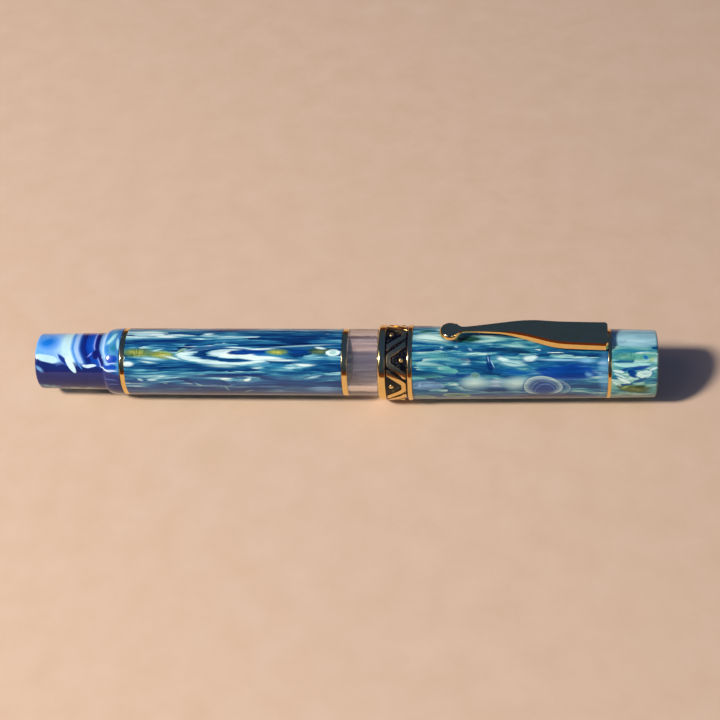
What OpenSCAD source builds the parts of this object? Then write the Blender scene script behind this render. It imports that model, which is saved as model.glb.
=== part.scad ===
// Piston-filling fountain pen with a screw cap, lying capped along X with its clip upwards.
// The tail of the pen points to -X and the crown of the cap to +X. Millimetres.
// The origin is under the middle of the pen, on the surface that the cap band rests on.

/* [Lengths along the pen] */
// Piston knob with its shoulder
knob_len = 20.3; // [19.8:0.05:20.8]
// Ring between the knob and the barrel
tail_ring_len = 1.1; // [0.9:0.05:1.3]
// Resin barrel
barrel_len = 50.1; // [49:0.1:52]
// Ring between the barrel and the ink window
front_ring_len = 1.3; // [1:0.05:1.6]
// Ink window between its ring and the cap's lip
window_len = 6.9; // [6:0.1:8]
// Ring at the lip of the cap
lip_ring_len = 1.8; // [1.6:0.05:2]
// Black channel that holds the relief of the cap band
channel_len = 5.05; // [4.9:0.05:5.2]
// Ring between the cap band and the resin of the cap
upper_ring_len = 1.05; // [0.9:0.05:1.2]
// Resin part of the cap that shows
cap_len = 43.9; // [43:0.1:45]
// Ring that holds the clip
clip_ring_len = 0.8; // [0.7:0.05:0.9]
// Crown of the cap
crown_len = 10.3; // [9.5:0.05:11]

/* [Outside radii] */
// Cap band, which the pen rests on
band_r = 8.7; // [8.7:0.05:8.9]
// Resin of the cap beside the band
cap_wide_r = 8.5; // [8.4:0.05:8.55]
// Resin of the cap beside the clip ring
cap_narrow_r = 7.9; // [7.8:0.05:7.95]
// Barrel
barrel_r = 7.75; // [7.72:0.01:7.8]
// Ink window
window_r = 7.7; // [7.62:0.01:7.71]
// Rings on the barrel
barrel_ring_r = 7.72; // [7.67:0.01:7.72]
// Knob at its flat end
knob_end_r = 6.44; // [6.3:0.02:6.5]
// Knob at its neck
knob_neck_r = 6.64; // [6.5:0.02:6.7]
// Crown beside the clip ring
crown_base_r = 7.88; // [7.8:0.02:7.92]
// Crown at its flat end
crown_end_r = 7.65; // [7.5:0.05:7.7]

/* [Ink chamber and piston] */
// Bore of the ink chamber
chamber_r = 5.5; // [5.4:0.05:5.55]
// Turns of the knob that drive the piston from one end to the other
knob_turns = 5; // [4:1:6]
// Travel of the piston
piston_travel = 25; // [20:1:25]
// Radial clearance of the piston's seals in the chamber
seal_gap = 0.05; // [0.03:0.01:0.08]

/* [Cap thread] */
// Crest of the thread on the pen
pen_thread_r = 6.9; // [6.85:0.01:6.92]
// Crest of the thread in the cap
cap_thread_r = 7.05; // [7.02:0.01:7.08]
// Distance between neighbouring crests
thread_pitch = 1.4; // [1.2:0.1:1.5]

/* [Cap band relief] */
// Raised brackets round the band, which point to the lip and to the crown in turn
brackets = 8; // [8:2:8]
// Floor of the channel
channel_r = 8.35; // [8.3:0.05:8.4]
// Top of the relief
relief_r = 8.66; // [8.6:0.02:8.68]
// Radius of a bead
bead_r = 0.55; // [0.45:0.05:0.6]
// Turn of the first bracket from the top of the band, towards -Y
first_bracket = 39.5; // [0:0.5:44]

/* [Clip] */
// Centre of the clip's button from the inner face of the crown
button_reach = 36.1; // [35:0.1:37]
// Radius of the button
button_r = 2.45; // [2.2:0.05:2.5]
// Face of the button above the pen's axis
button_h = 11.1; // [11:0.05:11.3]
// Thickness of the button
button_t = 1.2; // [1:0.05:1.3]

/* [Nib and grip] */
// Length of the grip from the thread to its gold ring
grip_len = 15.4; // [14:0.1:16]
// Length of nib that shows past the grip
nib_len = 20; // [19:0.1:20]
// Radius of the feed
feed_r = 3.15; // [3:0.05:3.15]
// Thickness of the nib
nib_t = 0.38; // [0.3:0.02:0.4]
// Fins of the feed that show
feed_fins = 11; // [8:1:12]

/* [Hidden] */

$fn = 96;

pen_len = knob_len + tail_ring_len + barrel_len + front_ring_len + window_len
    + lip_ring_len + channel_len + upper_ring_len + cap_len + clip_ring_len + crown_len;
axis_z = band_r;
gap = 0.1;
fit = 0.02;
eps = 0.01;

// Places along X, from the tail to the crown.
tail_x = -pen_len / 2;
knob_x = tail_x + knob_len;
barrel_x = knob_x + tail_ring_len;
barrel_end_x = barrel_x + barrel_len;
window_x = barrel_end_x + front_ring_len;
lip_x = window_x + window_len;
channel_x = lip_x + lip_ring_len;
upper_ring_x = channel_x + channel_len;
cap_x = upper_ring_x + upper_ring_len;
clip_ring_x = cap_x + cap_len;
crown_x = clip_ring_x + clip_ring_len;
crown_end_x = crown_x + crown_len;

// Tenons, counterbores and the mechanism inside the barrel.
sleeve_bore_r = 6.35;
sleeve_len = 14.9;
sleeve_end_x = barrel_x + sleeve_len;
sleeve_key_t = 1.5;
window_tenon_r = 6.6;
window_tenon_len = 8.5;
spindle_r = 3.85;
spindle_bore_r = 2.6;
collar_r = 4.9;
collar_x = barrel_x + 2.9;
collar_t = 1.5;
rod_r = 2.5;
rod_flat = 2;
piston_x = sleeve_end_x + 7;
piston_len = 6;
piston_stop = 2.5;
piston_face_r = 4.6;
lip_len = 1.1;
rod_socket = 2;
screw_starts = 4;
rod_start_x = tail_x + 4.5;
knob_bore_x = tail_x + 2;

// The grip and the nib in front of the pen's thread.
thread_end_x = upper_ring_x + 0.25;
tenon_x = lip_x + 1.4;
grip_tenon_r = 5.7;
shoulder_r = 6.55;
shoulder_len = 1.3;
grip_end_x = thread_end_x + grip_len;
section_ring_len = 0.8;
nib_base_x = grip_end_x + section_ring_len;
nib_end_x = nib_base_x + nib_len;
nib_point_half = 0.32;
nib_flare = 3.45;
collar_out_r = 4.1;
collar_in_r = feed_r + nib_t + 0.06;

// The inside of the cap.
cap_bore_end_x = clip_ring_x - 2.9;
cap_sleeve_r = 7.75;
inner_cap_x = thread_end_x + shoulder_len + 0.2;
inner_cap_end_x = cap_bore_end_x - gap;
inner_cap_r = cap_thread_r - gap;
inner_cap_t = 0.7;
crown_tenon_r = 5.9;

// The clip's stations: distance from the crown, half width, face height, thickness.
CLIP = [
    [34.4, 0.60, 11.15, 0.80],
    [31.5, 0.80, 11.45, 0.80],
    [28.0, 1.10, 11.75, 0.90],
    [24.0, 1.55, 12.00, 1.10],
    [20.5, 2.15, 11.95, 1.55],
    [17.0, 2.75, 11.50, 1.90],
    [14.0, 3.15, 10.85, 2.05],
    [11.0, 3.38, 10.40, 2.05],
    [ 6.0, 3.50, 10.15, 2.00],
    [ 0.9, 3.60,  9.95, 1.90]
];
CLIP_STEPS = 4;

// ---- Helpers -------------------------------------------------------------------------

// Turns a closed outline of [place along X, radius] points about the pen's axis.
module turned(outline) {
    translate([0, 0, axis_z])
        rotate([0, 90, 0])
            rotate_extrude()
                polygon([for (p = outline) [p[1], p[0]]]);
}

module tube(x0, x1, r_out, r_in) {
    turned([[x0, r_in], [x1, r_in], [x1, r_out], [x0, r_out]]);
}

module rod(x0, x1, r) {
    turned([[x0, 0], [x1, 0], [x1, r], [x0, r]]);
}

// Points of an elliptical arc about [cx, cr], from angle a0 to angle a1.
function arc(cx, cr, rx, rr, a0, a1, n = 8) =
    [for (i = [0:n]) let (a = a0 + (a1 - a0) * i / n) [cx + rx * cos(a), cr + rr * sin(a)]];

// Closed outline of a ring whose two outer edges are rounded.
function ring_outline(x0, x1, r_out, r_in, edge) = concat(
    [[x1, r_in], [x0, r_in]],
    arc(x0 + edge, r_out - edge, edge, edge, 180, 90, 4),
    arc(x1 - edge, r_out - edge, edge, edge, 90, 0, 4)
);

// Torus-like seal that fills its groove and stands out to r_out.
module seal_ring(x, r_in, r_out) {
    half = (r_out - r_in) / 2;
    turned(arc(x, r_in + half, half, half, 0, 345, 23));
}

// Catmull-Rom blend between stations b and c, with neighbours a and d.
function blend(a, b, c, d, t) =
    (2 * b + (c - a) * t + (2 * a - 5 * b + 4 * c - d) * t * t
        + (3 * b - a - 3 * c + d) * t * t * t) / 2;

function station(i) = CLIP[min(max(i, 0), len(CLIP) - 1)];

// The clip's stations with CLIP_STEPS blended steps between neighbours.
function smooth_clip() = concat(
    [for (i = [0:len(CLIP) - 2], k = [0:CLIP_STEPS - 1])
        blend(station(i - 1), station(i), station(i + 1), station(i + 2), k / CLIP_STEPS)],
    [station(len(CLIP) - 1)]
);

function reversed(points) = [for (i = [len(points) - 1:-1:0]) points[i]];

// ---- Pen body ------------------------------------------------------------------------

module barrel() {
    color("steelblue")
        turned([
            [barrel_x, sleeve_bore_r],
            [sleeve_end_x, sleeve_bore_r],
            [sleeve_end_x, chamber_r],
            [window_x - window_tenon_len, chamber_r],
            [window_x - window_tenon_len, window_tenon_r + fit],
            [barrel_end_x, window_tenon_r + fit],
            [barrel_end_x, barrel_r],
            [barrel_x, barrel_r]
        ]);
}

module barrel_tail_ring() {
    color("gold")
        turned(ring_outline(knob_x, barrel_x, barrel_ring_r, sleeve_bore_r, 0.15));
}

module barrel_front_ring() {
    color("gold")
        turned(ring_outline(barrel_end_x, window_x, barrel_ring_r, window_tenon_r + fit, 0.15));
}

// Clear tube: a tenon in the barrel, the window itself, and the cap thread in front.
module ink_window() {
    crests = floor((thread_end_x - lip_x - 1.4) / thread_pitch);
    root_r = pen_thread_r - 0.4;
    first_x = thread_end_x - 0.7 - (crests - 1) * thread_pitch;
    color("lightgray", 0.4)
        turned(concat(
            [
                [window_x - window_tenon_len, chamber_r],
                [tenon_x, chamber_r],
                [tenon_x, grip_tenon_r + fit],
                [thread_end_x, grip_tenon_r + fit],
                [thread_end_x, root_r]
            ],
            [for (i = [crests - 1:-1:0], k = [0:3])
                [first_x + i * thread_pitch + [0.45, 0.15, -0.15, -0.45][k],
                    [root_r, pen_thread_r, pen_thread_r, root_r][k]]],
            [
                [lip_x, root_r],
                [lip_x, window_r - 0.15],
                [lip_x - 0.15, window_r],
                [window_x, window_r],
                [window_x, window_tenon_r],
                [window_x - window_tenon_len, window_tenon_r]
            ]
        ));
}

// Fixed sleeve of the piston mechanism: holds the spindle's collar and keys the rod.
module mechanism_sleeve() {
    groove_x = sleeve_end_x - 1.6;
    color("burlywood")
        difference() {
            turned([
                [knob_x + 0.05, collar_r + 0.2],
                [collar_x + collar_t + gap, collar_r + 0.2],
                [collar_x + collar_t + gap, spindle_r + 0.3],
                [sleeve_end_x - sleeve_key_t, spindle_r + 0.3],
                [sleeve_end_x - sleeve_key_t, 0],
                [sleeve_end_x, 0],
                [sleeve_end_x, sleeve_bore_r - fit],
                [groove_x + 0.4, sleeve_bore_r - fit],
                [groove_x + 0.4, sleeve_bore_r - 0.8],
                [groove_x - 0.4, sleeve_bore_r - 0.8],
                [groove_x - 0.4, sleeve_bore_r - fit],
                [knob_x + 0.05, sleeve_bore_r - fit]
            ]);
            keyed_rod(sleeve_end_x - sleeve_key_t - 1, sleeve_end_x + 1, rod_r + gap, rod_flat + gap);
        }
}

module sleeve_seal() {
    color("dimgray")
        seal_ring(sleeve_end_x - 1.6, sleeve_bore_r - 0.78, sleeve_bore_r);
}

// Ring nut behind the spindle's collar.
module spindle_retainer() {
    color("goldenrod")
        tube(knob_x + 0.1, collar_x - gap, collar_r + 0.18, spindle_r + gap);
}

// ---- Grip and nib --------------------------------------------------------------------

module grip_section() {
    groove_x = tenon_x + 1.4;
    waist_r = 4.95;
    lip_r = 5.55;
    flare_r = 6.05;
    waist_at = 0.35;
    hold_len = grip_len - 1 - shoulder_len - 0.4;
    // Concave part that widens from its waist to the lip and to the shoulder.
    hold = [
        for (i = [0:12])
            let (t = i / 12)
            let (to_lip = max(0, 1 - t / waist_at))
            let (to_shoulder = max(0, (t - waist_at) / (1 - waist_at)))
                [
                    grip_end_x - 1 - t * hold_len,
                    waist_r + (lip_r - waist_r) * pow(to_lip, 2) + (flare_r - waist_r) * pow(to_shoulder, 2)
                ]
    ];
    color("steelblue")
        turned(concat(
            [
                [tenon_x + 0.1, collar_out_r],
                [grip_end_x, collar_out_r],
                [grip_end_x, lip_r - 0.15]
            ],
            arc(grip_end_x - 0.3, lip_r - 0.3, 0.3, 0.3, 30, 90, 4),
            hold,
            arc(thread_end_x + shoulder_len - 0.4, shoulder_r - 0.4, 0.4, 0.4, 0, 90, 4),
            [
                [thread_end_x, shoulder_r],
                [thread_end_x, grip_tenon_r],
                [groove_x + 0.4, grip_tenon_r],
                [groove_x + 0.4, grip_tenon_r - 0.7],
                [groove_x - 0.4, grip_tenon_r - 0.7],
                [groove_x - 0.4, grip_tenon_r],
                [tenon_x + 0.1, grip_tenon_r]
            ]
        ));
}

module section_ring() {
    color("gold")
        turned(ring_outline(grip_end_x, nib_base_x, 5.3, collar_out_r, 0.2));
}

module section_seal() {
    color("dimgray")
        seal_ring(tenon_x + 1.4, grip_tenon_r - 0.68, grip_tenon_r + fit);
}

module nib_collar() {
    color("black")
        tube(tenon_x + 0.6, nib_base_x, collar_out_r, collar_in_r);
}

// Black comb under the nib, with its fins and a nipple that reaches into the ink.
module feed() {
    fin_x = nib_base_x + 2.2;
    fin_step = 0.95;
    fin_gap = 0.5;
    core_r = 2.1;
    nipple_r = 1.6;
    nose_rise = 24;
    taper_x = nib_base_x + 10;
    tip_x = nib_base_x + 15.5;
    color("black")
        difference() {
            turned([
                [tenon_x - 1.2, 0],
                [tip_x, 0],
                [tip_x, 1.9],
                [taper_x + 2, 2.75],
                [fin_x, feed_r],
                [tenon_x + 1.2, feed_r],
                [tenon_x + 1.2, nipple_r],
                [tenon_x - 1.2, nipple_r]
            ]);
            for (i = [0:feed_fins - 1])
                tube(fin_x + i * fin_step, fin_x + i * fin_step + fin_gap, feed_r + 1, core_r);
            // The nose rises towards the nib.
            translate([taper_x, -5, axis_z - 5])
                rotate([0, -nose_rise, 0])
                    translate([-2, 0, -4.5])
                        cube([14, 10, 5]);
            // Ink channel along the top.
            translate([tenon_x - 2, -0.25, axis_z + feed_r - 0.7])
                cube([pen_len / 2, 0.5, 2]);
        }
}

// Half width of the nib at a share t of the way from its shoulders to its point.
function nib_half(t) = nib_point_half + nib_flare * pow(1 - t, 1.35) * (1 + 0.55 * t);

module nib() {
    shank_x = tenon_x + 4;
    shoulder_x = nib_base_x + 4.6;
    point_len = nib_end_x - shoulder_x;
    breather_x = nib_base_x + 9.5;
    shank_r = feed_r + nib_t + 0.03;
    outer = [
        [shank_x, shank_r],
        [nib_base_x, shank_r],
        [shoulder_x, 4],
        [nib_base_x + 12, 3.5],
        [nib_end_x, 2.3]
    ];
    side = concat(
        [[shank_x, shank_r - 0.1], [nib_base_x + 0.6, shank_r - 0.1], [nib_base_x + 2.6, 3.8]],
        [for (i = [0:12]) [shoulder_x + point_len * i / 12, nib_half(i / 12)]]
    );
    color("gold")
        difference() {
            intersection() {
                turned(concat(outer, reversed([for (p = outer) [p[0], p[1] - nib_t]])));
                translate([0, 0, axis_z + 0.5])
                    linear_extrude(height = 6)
                        polygon(concat(side, reversed([for (p = side) [p[0], -p[1]]])));
            }
            translate([breather_x, 0, axis_z])
                cylinder(h = 8, r = 0.75);
            translate([breather_x, -0.05, axis_z])
                cube([nib_len, 0.1, 8]);
        }
}

module nib_tip() {
    color("silver")
        difference() {
            translate([nib_end_x - 0.05, 0, axis_z + 1.62])
                sphere(r = 0.5, $fn = 48);
            nib();
            translate([nib_end_x - 2, -0.05, axis_z])
                cube([4, 0.1, 8]);
        }
}

// ---- Piston --------------------------------------------------------------------------

module piston_knob() {
    front_x = knob_x - gap;
    neck_x = knob_x - 4.3;
    full_x = knob_x - 1;
    full_r = barrel_ring_r - fit;
    shoulder_x = neck_x + 0.4;
    shoulder_base_r = knob_neck_r + 0.3;
    edge = 0.5;
    color("royalblue")
        turned(concat(
            [[tail_x, 0]],
            arc(tail_x + edge, knob_end_r - edge, edge, edge, 180, 90, 5),
            arc(neck_x, shoulder_base_r, shoulder_x - neck_x, shoulder_base_r - knob_neck_r, 270, 360, 6),
            arc(full_x, shoulder_base_r, full_x - shoulder_x, full_r - shoulder_base_r, 180, 90, 10),
            [
                [front_x, full_r],
                [front_x, spindle_r],
                [knob_bore_x, spindle_r],
                [knob_bore_x, 0]
            ]
        ));
}

// Threaded tube fixed in the knob. Its collar keeps it in the sleeve.
module spindle() {
    color("burlywood")
        turned([
            [knob_bore_x, spindle_bore_r],
            [sleeve_end_x - sleeve_key_t - gap, spindle_bore_r],
            [sleeve_end_x - sleeve_key_t - gap, spindle_r],
            [collar_x + collar_t, spindle_r],
            [collar_x + collar_t, collar_r],
            [collar_x, collar_r],
            [collar_x, spindle_r],
            [knob_bore_x, spindle_r]
        ]);
}

// Round bar with two flats, which a keyed hole stops from turning.
module keyed_rod(x0, x1, r, flat) {
    intersection() {
        rod(x0, x1, r);
        translate([x0, -flat, axis_z - r])
            cube([x1 - x0, 2 * flat, 2 * r]);
    }
}

module piston_rod() {
    screw_depth = 0.3;
    groove_w = 0.4;
    crest_step = piston_travel / knob_turns / screw_starts;
    crests = floor((piston_travel - piston_stop) / crest_step);
    color("burlywood")
        difference() {
            keyed_rod(rod_start_x, piston_x + rod_socket, rod_r, rod_flat);
            for (i = [1:crests])
                translate([rod_start_x + i * crest_step, 0, 0])
                    tube(0, groove_w, rod_r + 1, rod_r - screw_depth);
        }
}

module piston_head() {
    piston_r = chamber_r - 0.25;
    color("whitesmoke")
        difference() {
            turned([
                [piston_x, 0],
                [piston_x + piston_len - 0.8, 0],
                [piston_x + piston_len, 3.2],
                [piston_x + piston_len, piston_face_r],
                [piston_x + piston_len - lip_len, piston_face_r],
                [piston_x + piston_len - lip_len, piston_r],
                [piston_x + lip_len, piston_r],
                [piston_x + lip_len, piston_face_r],
                [piston_x, piston_face_r]
            ]);
            keyed_rod(piston_x - 1, piston_x + rod_socket, rod_r, rod_flat);
        }
}

// Lip seal that is pushed on over one end of the head. Its lip points to +X.
module lip_seal() {
    turned([
        [0, piston_face_r],
        [lip_len, piston_face_r],
        [lip_len, chamber_r - seal_gap],
        [lip_len - 0.4, chamber_r - seal_gap],
        [0, chamber_r - 0.3]
    ]);
}

module piston_seal_front() {
    color("lightgray")
        translate([piston_x + piston_len - lip_len, 0, 0])
            lip_seal();
}

module piston_seal_rear() {
    color("lightgray")
        translate([piston_x + lip_len, 0, 0])
            mirror([1, 0, 0])
                lip_seal();
}

// ---- Cap -----------------------------------------------------------------------------

// Liner that seals against the grip's shoulder and keeps the nib from drying.
module inner_cap() {
    color("whitesmoke")
        turned([
            [inner_cap_x, inner_cap_r - inner_cap_t],
            [inner_cap_end_x - 0.8, inner_cap_r - inner_cap_t],
            [inner_cap_end_x - 0.8, 0],
            [inner_cap_end_x, 0],
            [inner_cap_end_x, inner_cap_r],
            [inner_cap_x, inner_cap_r]
        ]);
}

module cap_body() {
    grooves = floor((cap_x - channel_x - 1) / thread_pitch);
    groove_w = 0.6;
    groove_depth = 0.25;
    color("steelblue")
        difference() {
            turned([
                [channel_x, cap_thread_r],
                [cap_bore_end_x, cap_thread_r],
                [cap_bore_end_x, crown_tenon_r + fit],
                [clip_ring_x, crown_tenon_r + fit],
                [clip_ring_x, cap_narrow_r],
                [cap_x, cap_wide_r],
                [cap_x, cap_sleeve_r],
                [channel_x, cap_sleeve_r]
            ]);
            // Grooves of the cap's thread.
            for (i = [0:grooves - 1])
                translate([channel_x + groove_w + i * thread_pitch, 0, 0])
                    tube(0, groove_w, cap_thread_r + groove_depth, cap_thread_r - 1);
            // Notch for the lug of the clip ring.
            translate([clip_ring_x - 1.4, -2.25, axis_z + crown_tenon_r + 0.8])
                cube([3, 4.5, 4]);
        }
}

module cap_lip_ring() {
    x0 = lip_x + gap;
    color("gold")
        turned(concat(
            [[channel_x, cap_thread_r], [x0, cap_thread_r]],
            arc(x0 + 0.55, band_r - 0.55, 0.55, 0.55, 180, 90, 6),
            arc(channel_x - 0.15, band_r - 0.15, 0.15, 0.15, 90, 0, 3)
        ));
}

module band_channel() {
    color("black")
        tube(channel_x, upper_ring_x, channel_r, cap_sleeve_r);
}

// Arc length s round the relief's radius, as a sideways distance.
function wrapped(s) = relief_r * sin(s / relief_r * 180 / PI);

// One raised bracket at the top of the band. Its closed side faces the lip.
module bracket() {
    half = [
        [0.35, 0],
        [0.35, 1.2],
        [3.5, 3.65],
        [4.05, 4.4],
        [4.7, 4.6],
        [4.7, 3.1],
        [1.35, 0.6],
        [1.35, 0]
    ];
    outline = concat(half, reversed([for (p = half) [p[0], -p[1]]]));
    intersection() {
        tube(channel_x, upper_ring_x, relief_r, channel_r);
        translate([channel_x, 0, axis_z])
            linear_extrude(height = band_r + 1)
                polygon([for (p = outline) [p[0], wrapped(p[1])]]);
    }
}

// Turns its children about the pen's axis.
module round_axis(angle) {
    translate([0, 0, axis_z])
        rotate([angle, 0, 0])
            translate([0, 0, -axis_z])
                children();
}

module flipped_band() {
    translate([channel_x + upper_ring_x, 0, 0])
        mirror([1, 0, 0])
            children();
}

module band_brackets() {
    color("gold")
        for (i = [0:brackets - 1])
            round_axis(i * 360 / brackets + first_bracket)
                if (i % 2 == 0)
                    bracket();
                else
                    flipped_band()
                        bracket();
}

// One bead at the top of the band, in the open side of its bracket.
module bead() {
    translate([channel_x + 3.7, 0, axis_z + relief_r - bead_r])
        intersection() {
            sphere(r = bead_r, $fn = 48);
            translate([-1, -1, channel_r - relief_r + bead_r])
                cube([2, 2, 2]);
        }
}

module band_beads() {
    color("gold")
        for (i = [0:brackets - 1])
            round_axis(i * 360 / brackets + first_bracket)
                if (i % 2 == 0)
                    bead();
                else
                    flipped_band()
                        bead();
}

module band_upper_ring() {
    color("gold")
        turned(ring_outline(upper_ring_x, cap_x, band_r, cap_sleeve_r, 0.2));
}

// Washer between the cap and the crown, with a lug under the clip's root.
module clip_ring() {
    color("gold")
        union() {
            turned(ring_outline(clip_ring_x, crown_x, cap_narrow_r + 0.03, crown_tenon_r + fit, 0.12));
            intersection() {
                translate([clip_ring_x - 1.3, -2.2, axis_z + crown_tenon_r + 0.85])
                    cube([1.5, 4.4, 1]);
                rod(clip_ring_x - 1.3, clip_ring_x + 0.2, cap_narrow_r + 0.03);
            }
        }
}

// Crown with the threaded tenon that clamps the clip ring.
module crown() {
    color("lightseagreen")
        turned(concat(
            [
                [cap_bore_end_x + 0.2, 0],
                [cap_bore_end_x + 0.2, crown_tenon_r],
                [crown_x, crown_tenon_r],
                [crown_x, crown_base_r]
            ],
            arc(crown_end_x - 0.5, crown_end_r - 0.5, 0.5, 0.5, 90, 0, 5),
            [[crown_end_x, 0]]
        ));
}

// ---- Clip ----------------------------------------------------------------------------

module clip_arm() {
    path = smooth_clip();
    plan = [for (s = path) [crown_x - s[0], s[1]]];
    top = [for (s = path) [crown_x - s[0], axis_z + s[2]]];
    under = [for (s = path) [crown_x - s[0], axis_z + s[2] - s[3]]];
    intersection() {
        linear_extrude(height = axis_z + 20)
            polygon(concat(plan, reversed([for (p = plan) [p[0], -p[1]]])));
        translate([0, 10, 0])
            rotate([90, 0, 0])
                linear_extrude(height = 20)
                    polygon(concat(top, reversed(under)));
    }
}

// Round button with rounded rims and a domed foot that rides on the cap.
module clip_button() {
    rim = 0.35;
    foot_r = 1.35;
    translate([crown_x - button_reach, 0, axis_z + button_h])
        union() {
            rotate_extrude()
                polygon(concat(
                    [[0, 0]],
                    arc(button_r - rim, -rim, rim, rim, 90, 0, 5),
                    arc(button_r - rim, rim - button_t, rim, rim, 0, -90, 5),
                    [[0, -button_t]]
                ));
            translate([0, 0, -button_t])
                intersection() {
                    sphere(r = foot_r, $fn = 48);
                    translate([-2, -2, -2])
                        cube([4, 4, 2 + eps]);
                }
        }
}

module clip() {
    color("gold")
        union() {
            clip_arm();
            clip_button();
        }
}

barrel();
barrel_tail_ring();
barrel_front_ring();
ink_window();
mechanism_sleeve();
sleeve_seal();
spindle_retainer();
grip_section();
section_ring();
section_seal();
nib_collar();
feed();
nib();
nib_tip();
piston_knob();
spindle();
piston_rod();
piston_head();
piston_seal_front();
piston_seal_rear();
inner_cap();
cap_body();
cap_lip_ring();
band_channel();
band_brackets();
band_beads();
band_upper_ring();
clip_ring();
crown();
clip();
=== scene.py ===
"""Fountain pen: the looks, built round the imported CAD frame.

Lengths are in millimetres unless they say metres. Angles round the pen go from the top towards the
viewer."""

import math

import bmesh
import bpy
from mathutils import Matrix, Vector
from mathutils.bvhtree import BVHTree


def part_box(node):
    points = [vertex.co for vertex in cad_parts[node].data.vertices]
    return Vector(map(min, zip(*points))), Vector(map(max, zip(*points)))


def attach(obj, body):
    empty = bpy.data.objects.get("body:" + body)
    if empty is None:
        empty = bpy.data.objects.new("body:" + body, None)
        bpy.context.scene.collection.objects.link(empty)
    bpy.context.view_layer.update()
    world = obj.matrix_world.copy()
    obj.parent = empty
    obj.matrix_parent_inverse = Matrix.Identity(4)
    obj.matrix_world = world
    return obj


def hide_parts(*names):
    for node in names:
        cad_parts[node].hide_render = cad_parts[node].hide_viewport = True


MM = 0.001
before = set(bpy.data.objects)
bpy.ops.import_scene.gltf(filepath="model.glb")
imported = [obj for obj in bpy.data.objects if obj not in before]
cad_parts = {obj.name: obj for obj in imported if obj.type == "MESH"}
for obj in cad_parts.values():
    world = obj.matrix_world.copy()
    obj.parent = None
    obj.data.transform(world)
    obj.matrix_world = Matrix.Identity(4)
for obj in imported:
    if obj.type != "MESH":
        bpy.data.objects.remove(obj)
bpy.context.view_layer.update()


# ---- Places taken from the frame ------------------------------------------------------

def span(node):
    """Where a CAD node starts and ends along X."""
    low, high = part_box(node)
    return low.x / MM, high.x / MM


def radius(node):
    """Largest radius of a CAD node that is turned about the pen's axis."""
    low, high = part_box(node)
    return (high.y - low.y) / 2 / MM


def axis_height():
    low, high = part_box("barrel")
    return (low.z + high.z) / 2 / MM


AXIS_Z = axis_height()

# ---- Sizes that several pieces share --------------------------------------------------

ROUND = 168         # points round a turned piece
BUTTON_ROUND = 72   # points round the clip's button
QUARTER = math.pi / 2
CAP_BORE_R = 7.05
BAND_SEAT_R = 7.75  # under the cap band
TENON_R = 5.9       # plug of the crown in the cap
TENON_HOLE_R = 5.92


# ---- Mesh tools -----------------------------------------------------------------------

def steps(start, end, count):
    """Even steps from start to end, with both in it."""
    return [start + (end - start) * k / count for k in range(count + 1)]


def full_turn(count):
    return [2 * math.pi * k / count for k in range(count)]


def on_pen(x, r, angle):
    """Point at radius r from the pen's axis."""
    return (x, -r * math.sin(angle), AXIS_Z + r * math.cos(angle))


def arc_points(middle, size, start, end, count):
    """Points of an arc round a middle point, with its two radii in size and its angles in radians."""
    turn = steps(start, end, count)
    return [(middle[0] + size[0] * math.cos(a), middle[1] + size[1] * math.sin(a)) for a in turn]


def rounded(corners, count=5, support=0.06):
    """Rounds the corners of a closed outline of (x, r, fillet) points. Support points keep shading tight."""
    outline = []
    for i, (x, r, fillet) in enumerate(corners):
        here = Vector((x, r))
        if fillet <= 0:
            outline.append(here)
            continue
        before = Vector(corners[i - 1][:2]) - here
        after = Vector(corners[(i + 1) % len(corners)][:2]) - here
        start = here + before.normalized() * fillet
        end = here + after.normalized() * fillet
        if before.length > fillet + 4 * support:
            outline.append(start + before.normalized() * support)
        for t in steps(0, 1, count):
            outline.append(start * (1 - t) ** 2 + here * 2 * t * (1 - t) + end * t * t)
        if after.length > fillet + 4 * support:
            outline.append(end + after.normalized() * support)
    return outline


def finish_mesh(name, bm, sharp=32):
    """Makes an object in metres from a bmesh in millimetres, with smooth faces and sharp creases."""
    bmesh.ops.recalc_face_normals(bm, faces=bm.faces)
    bm.transform(Matrix.Scale(MM, 4))
    mesh = bpy.data.meshes.new(name)
    bm.to_mesh(mesh)
    bm.free()
    mesh.polygons.foreach_set("use_smooth", [True] * len(mesh.polygons))
    mesh.set_sharp_from_angle(angle=math.radians(sharp))
    piece = bpy.data.objects.new(name, mesh)
    bpy.context.scene.collection.objects.link(piece)
    return piece


def join_loops(bm, loops, closed=True):
    """Makes the faces between each loop of vertices and the next. A loop of one vertex is a point."""
    following = loops[1:] + loops[:1] if closed else loops[1:]
    for first, second in zip(loops, following):
        count = max(len(first), len(second))
        for k in range(count):
            corners = [first[k % len(first)], first[(k + 1) % len(first)]]
            corners += [second[(k + 1) % len(second)], second[k % len(second)]]
            face = list(dict.fromkeys(corners))
            if len(face) > 2:
                bm.faces.new(face)


def add_turned(bm, outline):
    """Turns a closed outline of (x, r) points about the pen's axis."""
    loops = []
    for x, r in outline:
        angles = full_turn(ROUND) if r > 1e-6 else [0.0]
        loops.append([bm.verts.new(on_pen(x, r, a)) for a in angles])
    join_loops(bm, loops)


def turned(name, outline):
    bm = bmesh.new()
    add_turned(bm, outline)
    return finish_mesh(name, bm)


def ring_outline(x0, x1, r_out, r_in, edge):
    return rounded([(x0, r_in, 0.05), (x0, r_out, edge), (x1, r_out, edge), (x1, r_in, 0.05)])


# ---- Material tools -------------------------------------------------------------------

def linear(code, alpha=1.0):
    """Linear colour of a hex sRGB code. A tuple is linear already."""
    if isinstance(code, tuple):
        return code + (alpha,)
    parts = [int(code[i:i + 2], 16) / 255 for i in (1, 3, 5)]
    return tuple(p / 12.92 if p <= 0.04045 else ((p + 0.055) / 1.055) ** 2.4 for p in parts) + (alpha,)


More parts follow.
